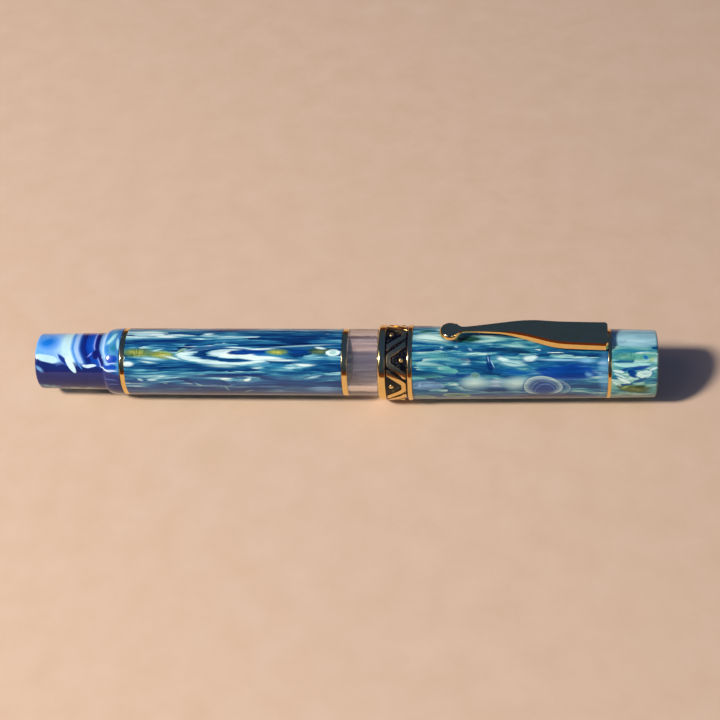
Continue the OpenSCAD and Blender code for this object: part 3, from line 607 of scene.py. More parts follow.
def cap_resin():
    tones = [
        (0.18, "#0a2c54"), (0.36, "#0e4272"), (0.49, "#185f88"), (0.60, "#3a879c"), (0.72, "#84bcb8"),
        (0.88, "#dcf2e6"),
    ]
    cloud = [(0.0, "#7fa9cc", 0.9), (0.6, "#6f9cc0", 0.8), (0.85, "#84a8c4", 0.7), (1.0, "#4f88ac", 0.0)]
    mist = [(0.0, "#cfe8dc", 1.0), (0.4, "#b4d6d0", 0.95), (0.75, "#7fb0bc", 0.7), (1.0, "#4f88ac", 0.0)]
    # painted shade: a muted slate for the underside, where the key lamp does not reach
    painted_underside_shade = [(0.0, "#34527f", 0.85), (0.7, "#3c5f8c", 0.7), (1.0, "#3f7fa6", 0.0)]
    moss = [
        (0.0, "#5f8f88", 0.6), (0.6, "#7fa88c", 0.8), (0.84, "#9fbc98", 0.9), (0.90, "#4f8090", 0.5),
        (1.0, "#3f7f90", 0.0),
    ]
    block = [
        (0.0, "#2f86a0", 0.0), (0.4, "#2f86a0", 0.2), (0.88, "#5fb0a4", 0.95), (0.94, "#6fb8ac", 0.95),
        (0.96, "#0d3f74", 0.8), (1.0, "#0d3f74", 0.0),
    ]
    core = [(0.0, "#2c4a84", 1.0), (0.7, "#30548c", 1.0), (0.9, "#3f78a8", 0.8), (1.0, "#4f90bc", 0.0)]
    arc = [
        (0.0, "#2c4a84", 0.0), (0.84, "#2c4a84", 0.0), (0.90, "#84b4b4", 0.8), (0.94, "#84b4b4", 0.6),
        (0.97, "#2c4a84", 0.0),
    ]
    blue_arc = [
        (0.0, "#2c4a84", 0.0), (0.80, "#2c4a84", 0.0), (0.90, "#6f94c4", 0.7), (0.95, "#6f94c4", 0.5),
        (1.0, "#2c4a84", 0.0),
    ]
    eyes = [
        (24, 46, 10, 3.6, -4, 0, 1.2),
        (52, 48, 9, 3.0, 0, 0, 0.8),
        (22, 90, 9, 3.4, 0, 0, 1.0),
    ]
    pools = [
        # painted shade laid along the whole underside of the cap
        pool(40, 118, 32, 4.4, painted_underside_shade),
        pool(51, 56, 10.0, 2.7, fading("#0b469a", "#1f70ac", 0.55, 0.97), rough=0.5),
        pool(53.5, 62, 5.5, 1.2, fading("#0a3a84", "#0f4f98", 0.4, 0.9), rough=0.5),
        pool(39, 58, 6, 0.9, fading("#1660a8", "#2a7fb0", 0.4, 0.9), tilt=4),
        pool(20.5, 1, 5.0, 1.5, fading("#cfeee2", "#3f8fa0", 0.45, 0.97), tilt=5, curve=-0.5, rough=0.5),
        pool(20.5, 5, 4.2, 0.22, fading("#3f94a0", "#3f94a0", 0.5, 0.8), tilt=6, curve=-0.6, rough=0.2),
        pool(24.0, -16, 3.2, 1.2, fading("#bfe6dc", "#3f8fa0", 0.5, 0.9), tilt=14),
        pool(19.5, -13, 2.4, 0.7, fading("#1f5f50", "#2f7f80", 0.5, 0.8), tilt=-6),
        pool(29.4, 3, 3.6, 1.3, fading("#17462f", "#2f7f80", 0.5, 0.95), tilt=-4, rough=0.5),
        pool(33.5, 7, 4.6, 0.6, fading("#b4e2d6", "#3f8fa0", 0.35, 0.95), tilt=-6, rough=0.5),
        pool(39.5, 16, 5.0, 0.5, fading("#a4d6d0", "#3f8fa0", 0.3, 0.85), tilt=5),
        pool(40, 24, 6.0, 0.8, fading("#14405c", "#2f7f90", 0.5, 0.8), tilt=2),
        pool(22.9, 18, 0.6, 0.4, fading("#b4d8e4", "#3f8fb0", 0.3, 0.8), rough=0.4),
        pool(26.1, 17, 0.7, 0.36, fading("#b4d8e4", "#3f8fb0", 0.3, 0.8), tilt=12, rough=0.4),
        pool(29.2, 22, 0.8, 0.4, fading("#a9d4dc", "#3f8fb0", 0.3, 0.8), tilt=30, rough=0.5),
        pool(24.6, 20, 1.6, 0.3, fading("#0a2f54", "#2f7f90", 0.4, 0.9), rough=0.9, hatch=0.6),
        pool(21.8, 33, 4.0, 0.9, fading("#5fb0a8", "#2f7f98", 0.3, 0.7), rough=1.6, hatch=0.3),
        pool(35.0, 22, 4.0, 0.9, fading("#0f3f6c", "#2f7f90", 0.4, 0.85)),
        pool(29.5, 37, 4.0, 1.0, fading("#0f4878", "#2f7f90", 0.4, 0.85)),
        pool(16.4, 54, 10.8, 2.1, block, tilt=2, rough=0.25),
        pool(20.0, 44, 4.6, 0.5, fading("#9fccc8", "#3f94a0", 0.3, 0.85), tilt=3),
        pool(27.0, 63, 5.0, 0.8, fading("#0f4f8c", "#1f6f9c", 0.5, 0.9), tilt=2),
        pool(28.4, 44, 1.8, 0.35, fading("#a4d0d8", "#2f7f98", 0.3, 0.8), tilt=-4, rough=0.4),
        pool(33.6, 45, 0.9, 3.0, fading("#0b3470", "#1f5f90", 0.5, 0.9), tilt=-10, rough=0.4),
        pool(34.3, 44, 0.16, 1.6, fading("#a4d0ee", "#2a6f96", 0.5, 0.95), tilt=-22, rough=0.1),
        pool(33.4, 37, 0.14, 0.9, fading("#a4d0ee", "#2a6f96", 0.5, 0.9), tilt=-16, rough=0.1),
        pool(36.9, 38, 2.0, 0.75, fading("#d4f2ea", "#3f8fb0", 0.5), tilt=16, rough=1.2),
        pool(39.0, 45, 3.8, 1.1, fading("#b4e0d8", "#3f8fb0", 0.5, 0.97), tilt=7, rough=1.3),
        pool(38.4, 43, 2.6, 0.18, fading("#3f90a8", "#3f90a8", 0.4, 0.8), tilt=8, rough=0.4),
        pool(42.9, 36, 2.2, 0.8, fading("#d4f0ea", "#3f8fb0", 0.5), tilt=-6, curve=0.5, rough=0.8),
        pool(50, 37, 8.0, 0.38, fading("#9fd0e4", "#2f7fb4", 0.4, 0.95), rough=0.5),
        pool(55.4, 38, 3.2, 0.9, fading("#84c0e0", "#2f7fb4", 0.3, 0.9), rough=0.6),
        pool(55.9, 61, 1.3, 0.9, fading("#6fa8d4", "#1f5fa4", 0.2, 0.8), tilt=30, curve=0.5, rough=1.2),
        pool(20.0, 80, 4.2, 1.3, cloud, tilt=2, rough=0.3),
        pool(18.2, 78, 0.5, 0.9, fading("#9fc4e4", "#6f9cc0", 0.3, 0.9), rough=0.3),
        pool(36.5, 78, 7.5, 1.4, fading("#b4cfd8", "#5f8cb4", 0.5, 0.95), rough=0.4),
        pool(30.4, 77, 4.4, 2.3, mist, tilt=-5, curve=-0.4, rough=0.7),
        pool(30.6, 63, 1.1, 0.9, crisp("#6f9f90", "#8fb8b8", 0.85), tilt=8, rough=0.3, hatch=0.3),
        pool(39.6, 80, 3.8, 2.2, mist, tilt=-9, curve=0.3, rough=0.6),
        pool(19.0, 112, 3.0, 1.1, moss, tilt=6, rough=0.25),
        pool(26.5, 106, 3.6, 1.3, moss, tilt=4, rough=0.25),
        pool(45.7, 85, 4.7, 3.0, core, rough=0.05),
        pool(45.8, 85, 4.0, 2.8, arc, rough=0.03),
        pool(46.0, 89, 3.2, 2.6, arc, rough=0.03),
        pool(46.2, 94, 2.5, 2.6, blue_arc, rough=0.02),
        pool(46.7, 86, 5.7, 3.1, shell("#7fa4b4", "#34568c"), tilt=3, rough=0.03),
        pool(45.7, 84, 4.8, 3.2, shell("#b4d0c8", "#34568c"), tilt=3, rough=0.03),
        pool(46.5, 113, 9.0, 2.5, fading("#33446c", "#33446c", 0.6, 0.92), rough=0.4),
        pool(59.4, 60, 1.8, 7.0, fading("#6fa9cc", "#3f8fb8", 0.5, 0.6), rough=0.4),
        pool(59.0, 41, 1.8, 0.55, fading("#a9d4ee", "#5f9fcc", 0.2, 0.85), rough=0.9),
    ]
    return resin("cap_resin", "cap_body", seed=3, size=(12.0, 2.8), lines=(12, 0), sway=1.2, tones=tones,
                 eyes=eyes, pools=pools)


def crown_resin():
    tones = [
        (0.18, "#0b427a"), (0.36, "#1b7690"), (0.48, "#559f9c"), (0.60, "#86bcaa"), (0.72, "#b4ded2"),
        (0.88, "#e6f6ec"),
    ]
    aqua = [(0.0, "#a4d4da", 1.0), (0.8, "#a0d0d6", 1.0), (0.9, "#7fbcc4", 0.9), (1.0, "#4fa0ac", 0.0)]
    olive = [(0.0, "#7c8a3a", 1.0), (0.5, "#56662c", 0.95), (0.8, "#44602f", 0.8), (1.0, "#3f6a58", 0.0)]
    pools = [
        pool(66, -14, 11.0, 4.3, aqua, rough=0.12),
        pool(66, 2, 6.0, 0.5, fading("#b9e0e4", "#a0d0d6", 0.4, 0.8), tilt=2, curve=0.3, rough=0.2),
        pool(67, -20, 5.0, 0.5, fading("#84b8c4", "#a0d0d6", 0.4, 0.7), rough=0.4),
        pool(65.5, 21, 6.5, 0.55, fading("#2a86a0", "#4f9fa4", 0.5, 0.95), rough=0.4),
        pool(66, 32, 6.5, 1.1, fading("#5fae98", "#4f9fa4", 0.55, 0.95), rough=0.5, hatch=0.35),
        pool(63.5, 33, 2.0, 0.5, fading("#7fc0a4", "#4f9fa4", 0.4, 0.8), tilt=-10, hatch=0.3),
        pool(68.4, 33, 0.9, 0.6, fading("#1468b0", "#2f8fa8", 0.4, 0.95), tilt=40, rough=0.3),
        pool(69.8, 36, 1.1, 0.5, fading("#a9c870", "#5fae98", 0.3, 0.8), tilt=-50, rough=0.4, hatch=0.4),
        pool(65.4, 46, 5.6, 0.75, crisp("#a4dcd4", "#2f90a4"), curve=0.7, rough=0.2),
        pool(66.2, 52, 4.4, 0.6, crisp("#0d4690", "#2f80a8"), tilt=-8, curve=0.4, rough=0.5),
        pool(65.6, 60, 1.7, 1.0, crisp("#0c3f86", "#2f80a8"), tilt=38, rough=0.4),
        pool(68.2, 62, 2.4, 1.3, crisp("#cff0e4", "#1f6fa0"), tilt=-8, curve=0.4, rough=0.35),
        pool(68.4, 61, 1.3, 0.2, fading("#7fc0cc", "#9fd4d4", 0.4, 0.8), curve=0.8, rough=0.2),
        pool(70.2, 52, 1.4, 0.35, crisp("#cfeee6", "#2f80b0"), tilt=-24, rough=0.3),
        pool(67.4, 72, 2.0, 0.4, crisp("#15588c", "#2f7fa0"), tilt=-22, curve=0.8, rough=0.4),
        pool(62.6, 57, 1.8, 0.5, crisp("#cfeee6", "#2f80b0"), tilt=12, rough=0.5),
        pool(62.8, 64, 2.0, 0.4, crisp("#bfe6de", "#2f80b0"), tilt=22, rough=0.6),
        pool(63.6, 72, 2.2, 0.5, crisp("#d4f0e4", "#2f80a0"), tilt=26, rough=0.7),
        pool(62.2, 79, 1.6, 0.5, crisp("#bfe2d8", "#4f9090"), tilt=30, rough=0.7),
        pool(66.4, 91, 4.4, 1.5, olive, tilt=4, curve=0.3, rough=0.9, hatch=0.3),
        pool(67.4, 86, 1.8, 0.5, fading("#2a3f20", "#4f7f60", 0.5, 0.9), rough=0.6),
        pool(64.0, 86, 1.2, 0.5, fading("#9fb84f", "#4f7f50", 0.4, 0.9), tilt=-30, rough=0.6),
        # painted shade with a grey painted floor reflection on the crown's underside
        pool(66, 118, 8.0, 1.8, [(0.0, "#5f8288", 0.85), (0.7, "#6f9494", 0.7), (1.0, "#4f7f80", 0.0)],
             rough=1.0),
    ]
    return resin("crown_resin", "crown", seed=4, size=(6.5, 2.2), lines=(10, 0), sway=1.3, tones=tones,
                 pools=pools, grain=0.8, shade=0.4)


def grip_resin():
    return resin("grip_resin", "grip_section", seed=5, size=(14.0, 2.4), lines=(10, 0), sway=1.1,
                 tones=BARREL_TONES, r=5.5)


GOLD = gold("gold_trim")
RELIEF_GOLD = gold("gold_relief", "#f4cf82", 0.14, 0.5)
CLIP_GOLD = gold("clip_gold", "#fbd888", 0.05)
NIB_GOLD = gold("nib_gold", "#f0c274", 0.09)
TIPPING = moulded("nib_tipping", "#a9a9ac", "#d6d6da", 0.12, 3.0, 1.0)
ENAMEL = enamel("black_enamel")
CLEAR = clear_resin("clear_acrylic")
FEED_PLASTIC = moulded("feed_plastic", "#0a0a0b", "#18181a", 0.34)
SEAL_RUBBER = moulded("seal_rubber", "#0c0c0c", "#1c1c1c", 0.6)
ACETAL = moulded("mechanism_plastic", "#b9b3a4", "#d2cdbf", 0.38)
BRASS = moulded("mechanism_brass", "#a07a30", "#cfa552", 0.22, 2.0, 1.0)
PISTON_PLASTIC = moulded("piston_plastic", "#c9c9c4", "#e4e4e0", 0.35)
PISTON_SEAL = moulded("piston_seal", "#9aa2a8", "#c2c8cc", 0.3)
LINER = moulded("liner_plastic", "#b8b5ab", "#d8d5cc", 0.42)


def settle(piece, body, material, slot, *nodes):
    """Gives a new piece its material and body, and hides the CAD nodes that it stands for. slot is not used.
    """
    piece.data.materials.append(material)
    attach(piece, body)
    if nodes:
        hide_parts(*nodes)


# ---- Turned pieces of the pen ---------------------------------------------------------

def add_barrel():
    x0, x1 = span("barrel")
    bore = radius("mechanism_sleeve")
    wide = radius("barrel")
    outline = rounded([(x0, bore, 0), (x0, wide, 0.12), (x1, wide, 0.12), (x1, bore, 0)])
    settle(turned("resin_barrel", outline), "pen", barrel_resin(), "barrel_resin", "barrel")


def add_rings():
    sleeve_r = radius("mechanism_sleeve")
    grip_end_r = 4.1
    rings = (
        ("tail_ring", "barrel_tail_ring", sleeve_r, 0.16),
        ("front_ring", "barrel_front_ring", sleeve_r, 0.16),
        ("grip_ring", "section_ring", grip_end_r, 0.2),
    )
    for name, node, inner, edge in rings:
        piece = turned(name, ring_outline(*span(node), radius(node), inner, edge))
        settle(piece, "pen", GOLD, "gold_trim", node)


def add_knob():
    """Knob: a rounded tail, a waist that widens a little, a small step, a swept shoulder and a bore
    behind."""
    x0, x1 = span("piston_knob")
    full_r = radius("piston_knob")
    tail_r, rounding = 5.84, 0.6
    waist_r = 6.63
    step_r, step_length = 6.96, 0.45
    bore_r, floor_thickness = 3.9, 2.0
    neck = x1 - 4.2
    shoulder = x1 - 0.9
    sweep = shoulder - neck - step_length
    outline = [(x0, 0.0), (x0, 5.6), (x0, tail_r + 0.01)]
    outline += arc_points((x0 + rounding, tail_r), (rounding, rounding), math.pi, QUARTER, 7)
    outline += [(x0 + rounding + 0.15, tail_r + rounding + 0.005), (neck - 0.5, waist_r)]
    outline += arc_points((neck, step_r), (step_length, step_r - waist_r), -QUARTER, 0, 8)
    outline += arc_points((shoulder, step_r), (sweep, full_r - step_r), math.pi - 0.08, QUARTER, 14)
    outline += [(x1 - 0.12, full_r), (x1, full_r - 0.1), (x1, bore_r)]
    outline += [(x0 + floor_thickness, bore_r), (x0 + floor_thickness, 0.0)]
    settle(turned("resin_knob", outline), "knob", knob_resin(), "knob_resin", "piston_knob")


def add_window():
    """Clear tube with its bore, the step for the cap's lip and a two-start thread."""
    start = span("barrel_front_ring")[1]
    end = span("ink_window")[1]
    lip = span("cap_lip_ring")[0] - 0.1
    outer_r = radius("ink_window")
    bore_r, neck_r = 5.5, 6.5
    body = rounded([
        (start, bore_r, 0), (lip, bore_r, 0), (end, bore_r + 0.2, 0.1), (end, neck_r, 0.15),
        (lip, neck_r, 0.1),
        (lip, outer_r, 0.25), (start, outer_r, 0.05),
    ])
    settle(turned("clear_window", body), "pen", CLEAR, "clear_acrylic", "ink_window")
    add_thread(lip + 0.8, end - 0.5)


def add_thread(first, last):
    """Two-start thread on the window's neck. Its ridges fade out at both ends."""
    pitch, starts = 1.4, 2
    crest_r, root_r, inner_r = 6.9, 6.48, 6.3
    half_ridge, flank, fade_length = 0.32, 0.18, 0.6
    rows, columns = 120, 96
    bm = bmesh.new()
    loops = []
    for x in steps(first, last, rows):
        fade = max(0.0, min(1, (x - first) / fade_length, (last - x) / fade_length))
        loop = []
        for k in range(columns):
            phase = ((x - first) / pitch - k / columns * starts) % 1.0
            ridge = max(0.0, min(1.0, (half_ridge - abs(phase - 0.5)) / flank))
            r = root_r + (crest_r - root_r) * ridge * fade
            loop.append(bm.verts.new(on_pen(x, r, 2 * math.pi * (k / columns))))
        loops.append(loop)
    for x in (last, first):
        loops.append([bm.verts.new(on_pen(x, inner_r, a)) for a in full_turn(columns)])
    join_loops(bm, loops)
    settle(finish_mesh("window_thread", bm, 50), "pen", CLEAR, "clear_acrylic")


def add_grip():
    """Grip: a rounded lip at the nib's end, a long waist and a shoulder that meets the window."""
    x0, x1 = span("grip_section")
    start = span("ink_window")[1]
    bore_r, socket_r = 4.12, 5.7
    waist_r, lip_r, root_r, shoulder_r = 4.95, 5.55, 6.05, 6.55
    lip_edge, shoulder_edge = 0.25, 0.35
    narrowest = 0.35  # share of the way from the lip to the root
    outline = [(x0, bore_r), (x1, bore_r), (x1, lip_r - lip_edge)]
    outline += arc_points((x1 - lip_edge, lip_r - lip_edge), (lip_edge, lip_edge), 0.2, QUARTER, 5)
    for t in steps(0, 1, 30):
        to_lip = max(0, 1 - t / narrowest) ** 2 * (lip_r - waist_r)
        to_root = max(0, (t - narrowest) / (1 - narrowest)) ** 2 * (root_r - waist_r)
        outline.append((x1 - 0.5 - t * (x1 - start - 2.4), waist_r + to_lip + to_root))
    middle = (start + 1.3 - shoulder_edge, shoulder_r - shoulder_edge)
    outline += arc_points(middle, (shoulder_edge, shoulder_edge), 0, QUARTER, 6)
    outline += [(start, shoulder_r), (start, socket_r), (x0, socket_r)]
    settle(turned("resin_grip", outline), "pen", grip_resin(), "grip_resin", "grip_section")


# ---- Cap ------------------------------------------------------------------------------

def add_cap():
    x0, x1 = span("cap_body")
    band_end = span("band_upper_ring")[1]
    narrow = radius("clip_ring") - 0.03
    shelf = x1 - 2.9
    outline = rounded([
        (x0, CAP_BORE_R, 0), (shelf, CAP_BORE_R, 0), (shelf, TENON_HOLE_R, 0), (x1, TENON_HOLE_R, 0),
        (x1, narrow, 0.1), (band_end, radius("cap_body"), 0.1), (band_end, BAND_SEAT_R, 0),
        (x0, BAND_SEAT_R, 0),
    ])
    settle(turned("resin_cap", outline), "cap", cap_resin(), "cap_resin", "cap_body")
    x0, x1 = span("cap_lip_ring")
    lip_r = radius("cap_lip_ring")
    lip = rounded([(x0, CAP_BORE_R, 0.1), (x0, lip_r, 0.62), (x1, lip_r, 0.12), (x1, CAP_BORE_R, 0)], 8)
    settle(turned("lip_ring", lip), "cap", GOLD, "gold_trim", "cap_lip_ring")
    x0, x1 = span("band_channel")
    floor_r = radius("band_channel")
    channel = rounded([(x0, BAND_SEAT_R, 0), (x0, floor_r, 0), (x1, floor_r, 0), (x1, BAND_SEAT_R, 0)])
    settle(turned("enamel_channel", channel), "cap", ENAMEL, "black_enamel", "band_channel")
    ring = ring_outline(*span("band_upper_ring"), radius("band_upper_ring"), BAND_SEAT_R, 0.2)
    settle(turned("upper_ring", ring), "cap", GOLD, "gold_trim", "band_upper_ring")


def flat_bracket(height):
    """Raised bracket drawn flat, x along the pen and y round it. Its upper edges are bevelled.

    It is cut into strips, so that it can be wrapped round the pen."""
    strip, strips_each_way = 0.35, 13
    half = [
        (0.35, 0), (0.35, 1.05), (0.55, 1.4), (3.5, 3.65), (4.05, 4.4), (4.7, 4.6), (4.7, 3.1), (1.45, 0.72),
        (1.35, 0.5), (1.35, 0),
    ]
    outline = half + [(x, -y) for x, y in reversed(half[1:-1])]
    part = bmesh.new()
    face = part.faces.new([part.verts.new((x, y, 0)) for x, y in outline])
    lifted = bmesh.ops.extrude_face_region(part, geom=[face])["geom"]
    top_verts = [g for g in lifted if isinstance(g, bmesh.types.BMVert)]
    bmesh.ops.translate(part, verts=top_verts, vec=(0, 0, height))
    bmesh.ops.recalc_face_normals(part, faces=part.faces)
    top = [e for e in part.edges if all(v in top_verts for v in e.verts)]
    bmesh.ops.bevel(part, geom=top, offset=0.11, segments=3, affect="EDGES", profile=0.6)
    for k in range(-strips_each_way, strips_each_way + 1):
        everything = part.verts[:] + part.edges[:] + part.faces[:]
        bmesh.ops.bisect_plane(part, geom=everything, plane_co=(0, k * strip, 0), plane_no=(0, 1, 0))
    bmesh.ops.triangulate(part, faces=[f for f in part.faces if len(f.verts) > 4])
    return part


def add_relief():
    """Brackets and beads of the band, wrapped round the channel. Every second one points the other way."""
    start, end = span("band_channel")
    floor_r = radius("band_channel")
    top_r = radius("band_brackets")
    repeats, first_turn = 8, 39.5
    sunk = 0.05  # depth of the brackets in the enamel
    bead_r, bead_sunk, bead_from_edge = 0.55, 0.02, 3.7
    brackets = bmesh.new()
    beads = bmesh.new()
    for i in range(repeats):
        edge, side = (end, -1) if i % 2 else (start, 1)
        turn = math.radians(i * 360 / repeats + first_turn)
        part = flat_bracket(top_r - floor_r + sunk)
        for v in part.verts:
            x, y, height = v.co
            v.co = on_pen(edge + side * x, floor_r - sunk + height, turn + side * y / top_r)
        bracket = bpy.data.meshes.new("bracket")
        part.to_mesh(bracket)
        part.free()
        brackets.from_mesh(bracket)
        bpy.data.meshes.remove(bracket)
        centre = on_pen(edge + side * bead_from_edge, floor_r - bead_sunk, turn)
        size = Matrix.Diagonal((bead_r, bead_r, top_r - floor_r + bead_sunk, 1))
        matrix = Matrix.Translation(centre) @ Matrix.Rotation(turn, 4, "X") @ size
        bmesh.ops.create_uvsphere(beads, u_segments=24, v_segments=16, radius=1, matrix=matrix)
    settle(finish_mesh("gold_brackets", brackets, 28), "cap", RELIEF_GOLD, "gold_relief", "band_brackets")
    settle(finish_mesh("gold_beads", beads), "cap", RELIEF_GOLD, "gold_relief", "band_beads")


def add_crown():
    """The washer that holds the clip, with the lug that the clip grows from, and the crown."""
    ring_end = span("clip_ring")[1]
    ring_start = ring_end - 0.8
    lug_size, lug_height = (1.2, 4.3, 0.85), 7.3
    bm = bmesh.new()
    add_turned(bm, ring_outline(ring_start, ring_end, radius("clip_ring"), TENON_HOLE_R, 0.13))
    middle = Matrix.Translation((ring_start - lug_size[0] / 2, 0, AXIS_Z + lug_height))
    bmesh.ops.create_cube(bm, size=1, matrix=middle @ Matrix.Diagonal((*lug_size, 1)))
    settle(finish_mesh("clip_washer", bm), "cap", GOLD, "gold_trim", "clip_ring")
    x0, x1 = span("crown")
    base_r, end_r, rounding = radius("crown"), 7.65, 0.6
    outline = [(x0, 0.0), (x0, TENON_R), (ring_end, TENON_R), (ring_end, base_r - 0.1),
               (ring_end + 0.1, base_r)]
    outline += [(ring_end + 0.2, base_r - 0.003), (x1 - rounding - 0.15, end_r + 0.02)]
    middle = (x1 - rounding, end_r - rounding)
    outline += arc_points(middle, (rounding, rounding), QUARTER - 0.05, 0, 8)
    outline += [(x1, end_r - 0.9), (x1, 0.0)]
    settle(turned("resin_crown", outline), "cap", crown_resin(), "crown_resin", "crown")


# ---- Clip -----------------------------------------------------------------------------

def clip_sections(start, end, count=72):
    """Sections [x, half width, top, underside] measured on the clip's CAD node and smoothed."""
    bm = bmesh.new()
    bm.from_mesh(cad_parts["clip"].data)
    tree = BVHTree.FromBMesh(bm)
    bm.free()

    def hit(place, direction):
        return tree.ray_cast(Vector(place) * MM, Vector(direction))[0] / MM

    sections = []
    for x in steps(start, end, count):
        top = hit((x, 0, 40), (0, 0, -1)).z
        under = hit((x, 0, AXIS_Z), (0, 0, 1)).z
        side = hit((x, -20, (top + under) / 2), (0, 1, 0)).y
        sections.append([x, -side, top, under])
    for _ in range(2):
        inner = [
            [here[0]] + [(before[j] + 2 * here[j] + after[j]) / 4 for j in (1, 2, 3)]
            for before, here, after in zip(sections, sections[1:], sections[2:])
        ]
        sections = [sections[0], *inner, sections[-1]]
    return sections


def clip_outline(half, top, under):
    """Outline of one section as (y, z) points: a bevel, or facet, on the upper edges, and softened lower
    ones."""
    thick = top - under
    facet = min(0.27, half * 0.3)
    drop = min(2.05 * facet, thick * 0.4)
    low = min(0.12, thick * 0.2)
    right = [
        (half - facet - 0.10, top), (half - facet - 0.05, top), (half - facet, top - 0.015),
        (half - facet * 0.94, top - drop * 0.08), (half - facet * 0.06, top - drop * 0.96),
        (half, top - drop - 0.02), (half, under + low + 0.05), (half, under + low),
        (half - low * 0.3, under + low * 0.3), (half - low, under), (half - low - 0.05, under),
    ]
    return right + [(-y, z) for y, z in reversed(right)]


def add_clip():
    """Lofts the clip's arm through its sections, and turns its button."""
    x0, x1 = span("clip")
    button_r = 2.45
    button_x = x0 + button_r
    start, end = button_x + 1.2, x1 - 0.02
    corner = 0.5    # length over which the root's corners round off
    pulled_in = 0.45
    bm = bmesh.new()
    loops = []
    for x, half, top, under in clip_sections(start, end):
        near_end = (end - x) / corner
        if near_end < 1:
            half -= pulled_in * (1 - math.sqrt(max(0, 1 - (1 - near_end) ** 2)))
        loops.append([bm.verts.new((x, y, z)) for y, z in clip_outline(half, top, under)])
    join_loops(bm, loops, closed=False)
    bm.faces.new(loops[0])
    bm.faces.new(list(reversed(loops[-1])))
    settle(finish_mesh("clip_arm", bm, 18), "clip", CLIP_GOLD, "clip_gold", "clip")
    add_button(button_x, button_r)


def add_button(x, button_r):
    """Round button at the clip's end: a slightly crowned face, a rounded edge and a domed foot."""
    top = AXIS_Z + 11.1
    face_r, crowned = 1.78, 0.03
    edge_height = 1.05
    thick, foot_r = 1.25, 1.33
    profile = [(face_r * t, -crowned * t * t) for t in steps(0, 1, 6)]
    edge = (button_r - face_r, edge_height)
    profile += arc_points((face_r, -crowned - edge_height), edge, QUARTER - 0.3, 0, 12)
    profile += [(button_r - 0.1, -thick + 0.05)]
    profile += arc_points((0, -thick), (foot_r, foot_r), -0.02, -QUARTER, 9)
    bm = bmesh.new()
    loops = []
    for r, z in profile:
        angles = full_turn(BUTTON_ROUND) if r > 1e-3 else [0.0]
        loops.append([bm.verts.new((x + r * math.cos(a), r * math.sin(a), top + z)) for a in angles])
    join_loops(bm, loops, closed=False)
    settle(finish_mesh("clip_button", bm), "clip", CLIP_GOLD, "clip_gold")


# ---- CAD nodes that keep their shape --------------------------------------------------

def finish_cad_nodes():
    looks = {
        "mechanism_sleeve": ACETAL, "sleeve_seal": SEAL_RUBBER, "spindle_retainer": BRASS,
        "section_seal": SEAL_RUBBER, "nib_collar": FEED_PLASTIC, "feed": FEED_PLASTIC, "nib": NIB_GOLD,
        "nib_tip": TIPPING, "spindle": BRASS, "piston_rod": ACETAL, "piston_head": PISTON_PLASTIC,
        "piston_seal_front": PISTON_SEAL, "piston_seal_rear": PISTON_SEAL, "inner_cap": LINER,
    }
    for name, material in looks.items():
        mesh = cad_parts[name].data
        mesh.materials.clear()
        mesh.materials.append(material)


# ---- Stage, light and camera ----------------------------------------------------------

def add_stage():
    bm = bmesh.new()
    bmesh.ops.create_grid(bm, x_segments=2, y_segments=2, size=1500)
    floor = finish_mesh("floor", bm)
    tree = new_material("plain_floor")
    speck = tree.noise(tree.place(), 0.12, 4.0, 0.6)
    colour = tree.ramp(speck, [(0.3, "#d3b497"), (0.7, "#d8baa0")])["Color"]
    tree.to_shader(Base_Color=colour, Roughness=0.75, Specular_IOR_Level=0.2)
    floor.data.materials.append(tree.owner)


def add_lamp(name, place, size, power, colour):
    """Round lamp that shines at the origin. Its place and size are in metres."""
    data = bpy.data.lights.new(name, "AREA")
    data.shape = "DISK"
    data.size = size
    data.energy = power
    data.color = colour
    lamp = bpy.data.objects.new(name, data)
    lamp.location = place
    lamp.rotation_euler = (-Vector(place)).to_track_quat("-Z", "Y").to_euler()
    bpy.context.scene.collection.objects.link(lamp)


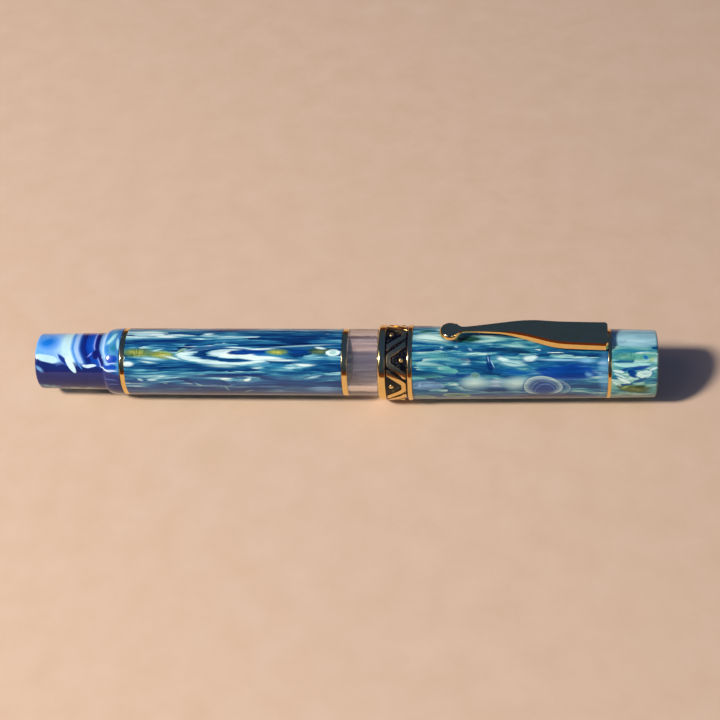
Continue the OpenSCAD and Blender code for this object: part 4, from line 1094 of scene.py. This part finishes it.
def add_world(key):
    """Slate-blue sky, brown near the horizon, with a glow round the key lamp. The camera sees a pale
    wall."""
    glow_start, glow_full = 24, 4  # degrees from the lamp
    tree = Tree(bpy.data.worlds.new("studio"))
    direction = tree.add("ShaderNodeTexCoord").outputs["Generated"]
    sky = tree.ramp(tree.parts(direction)[2], [
        (0.0, (0.15, 0.034, 0.006)), (0.17, (0.11, 0.025, 0.004)), (0.22, (0.026, 0.034, 0.06)),
        (0.45, (0.030, 0.056, 0.15)), (1.0, (0.020, 0.052, 0.20)),
    ])["Color"]
    toward = tree.vector("DOT_PRODUCT", direction, key.normalized())
    ends = [math.cos(math.radians(a)) for a in (glow_start, glow_full)]
    glow = tree.remap(toward, *ends, kind="SMOOTHERSTEP")
    sky = tree.mix(glow, sky, (1.3, 1.35, 1.5, 1))
    seen = tree.add("ShaderNodeLightPath").outputs["Is Camera Ray"]
    tree.put(tree.nodes["Background"].inputs[0], tree.mix(seen, sky, (0.66, 0.55, 0.46, 1)))
    bpy.context.scene.world = tree.owner


def add_light():
    key = Vector((-0.89, -0.55, 1.0)).normalized() * 1.1
    add_lamp("key", key, 0.16, 15.5, (1.0, 0.95, 0.88))
    add_lamp("fill", (0.5, -0.9, 0.9), 0.7, 0.7, (0.9, 0.95, 1.0))
    add_world(key)


def add_camera():
    """The camera stands 370 mm from the pen's axis, 47 degrees up, and looks a little towards the tail."""
    elevation = math.radians(47.0)
    yaw, pitch, roll = (math.radians(a) for a in (5.47, 0.08, 0.25))
    distance = 370.35
    foot_x = 39.3
    toward = Vector((0, math.cos(elevation), -math.sin(elevation)))
    up = Vector((0, math.sin(elevation), math.cos(elevation)))
    place = Vector((foot_x, 0, AXIS_Z)) - toward * distance
    ahead = Vector((-math.sin(yaw), 0, 0)) + math.cos(yaw) * toward
    right = Vector((math.cos(yaw), 0, 0)) + math.sin(yaw) * toward
    view = ahead * math.cos(pitch) + up * math.sin(pitch)
    above = up * math.cos(pitch) - ahead * math.sin(pitch)
    side = right * math.cos(roll) + above * math.sin(roll)
    above = above * math.cos(roll) - right * math.sin(roll)
    data = bpy.data.cameras.new("camera")
    data.sensor_width = 36
    data.lens = 80.525
    data.clip_start = 0.01
    camera = bpy.data.objects.new("camera", data)
    turn = Matrix((side, above, -view)).transposed().to_4x4()
    camera.matrix_world = Matrix.Translation(place * MM) @ turn
    bpy.context.scene.collection.objects.link(camera)
    bpy.context.scene.camera = camera


add_barrel()
add_rings()
add_knob()
add_window()
add_grip()
add_cap()
add_relief()
add_crown()
add_clip()
finish_cad_nodes()
add_stage()
add_light()
add_camera()
bpy.context.scene.view_settings.view_transform = "Standard"
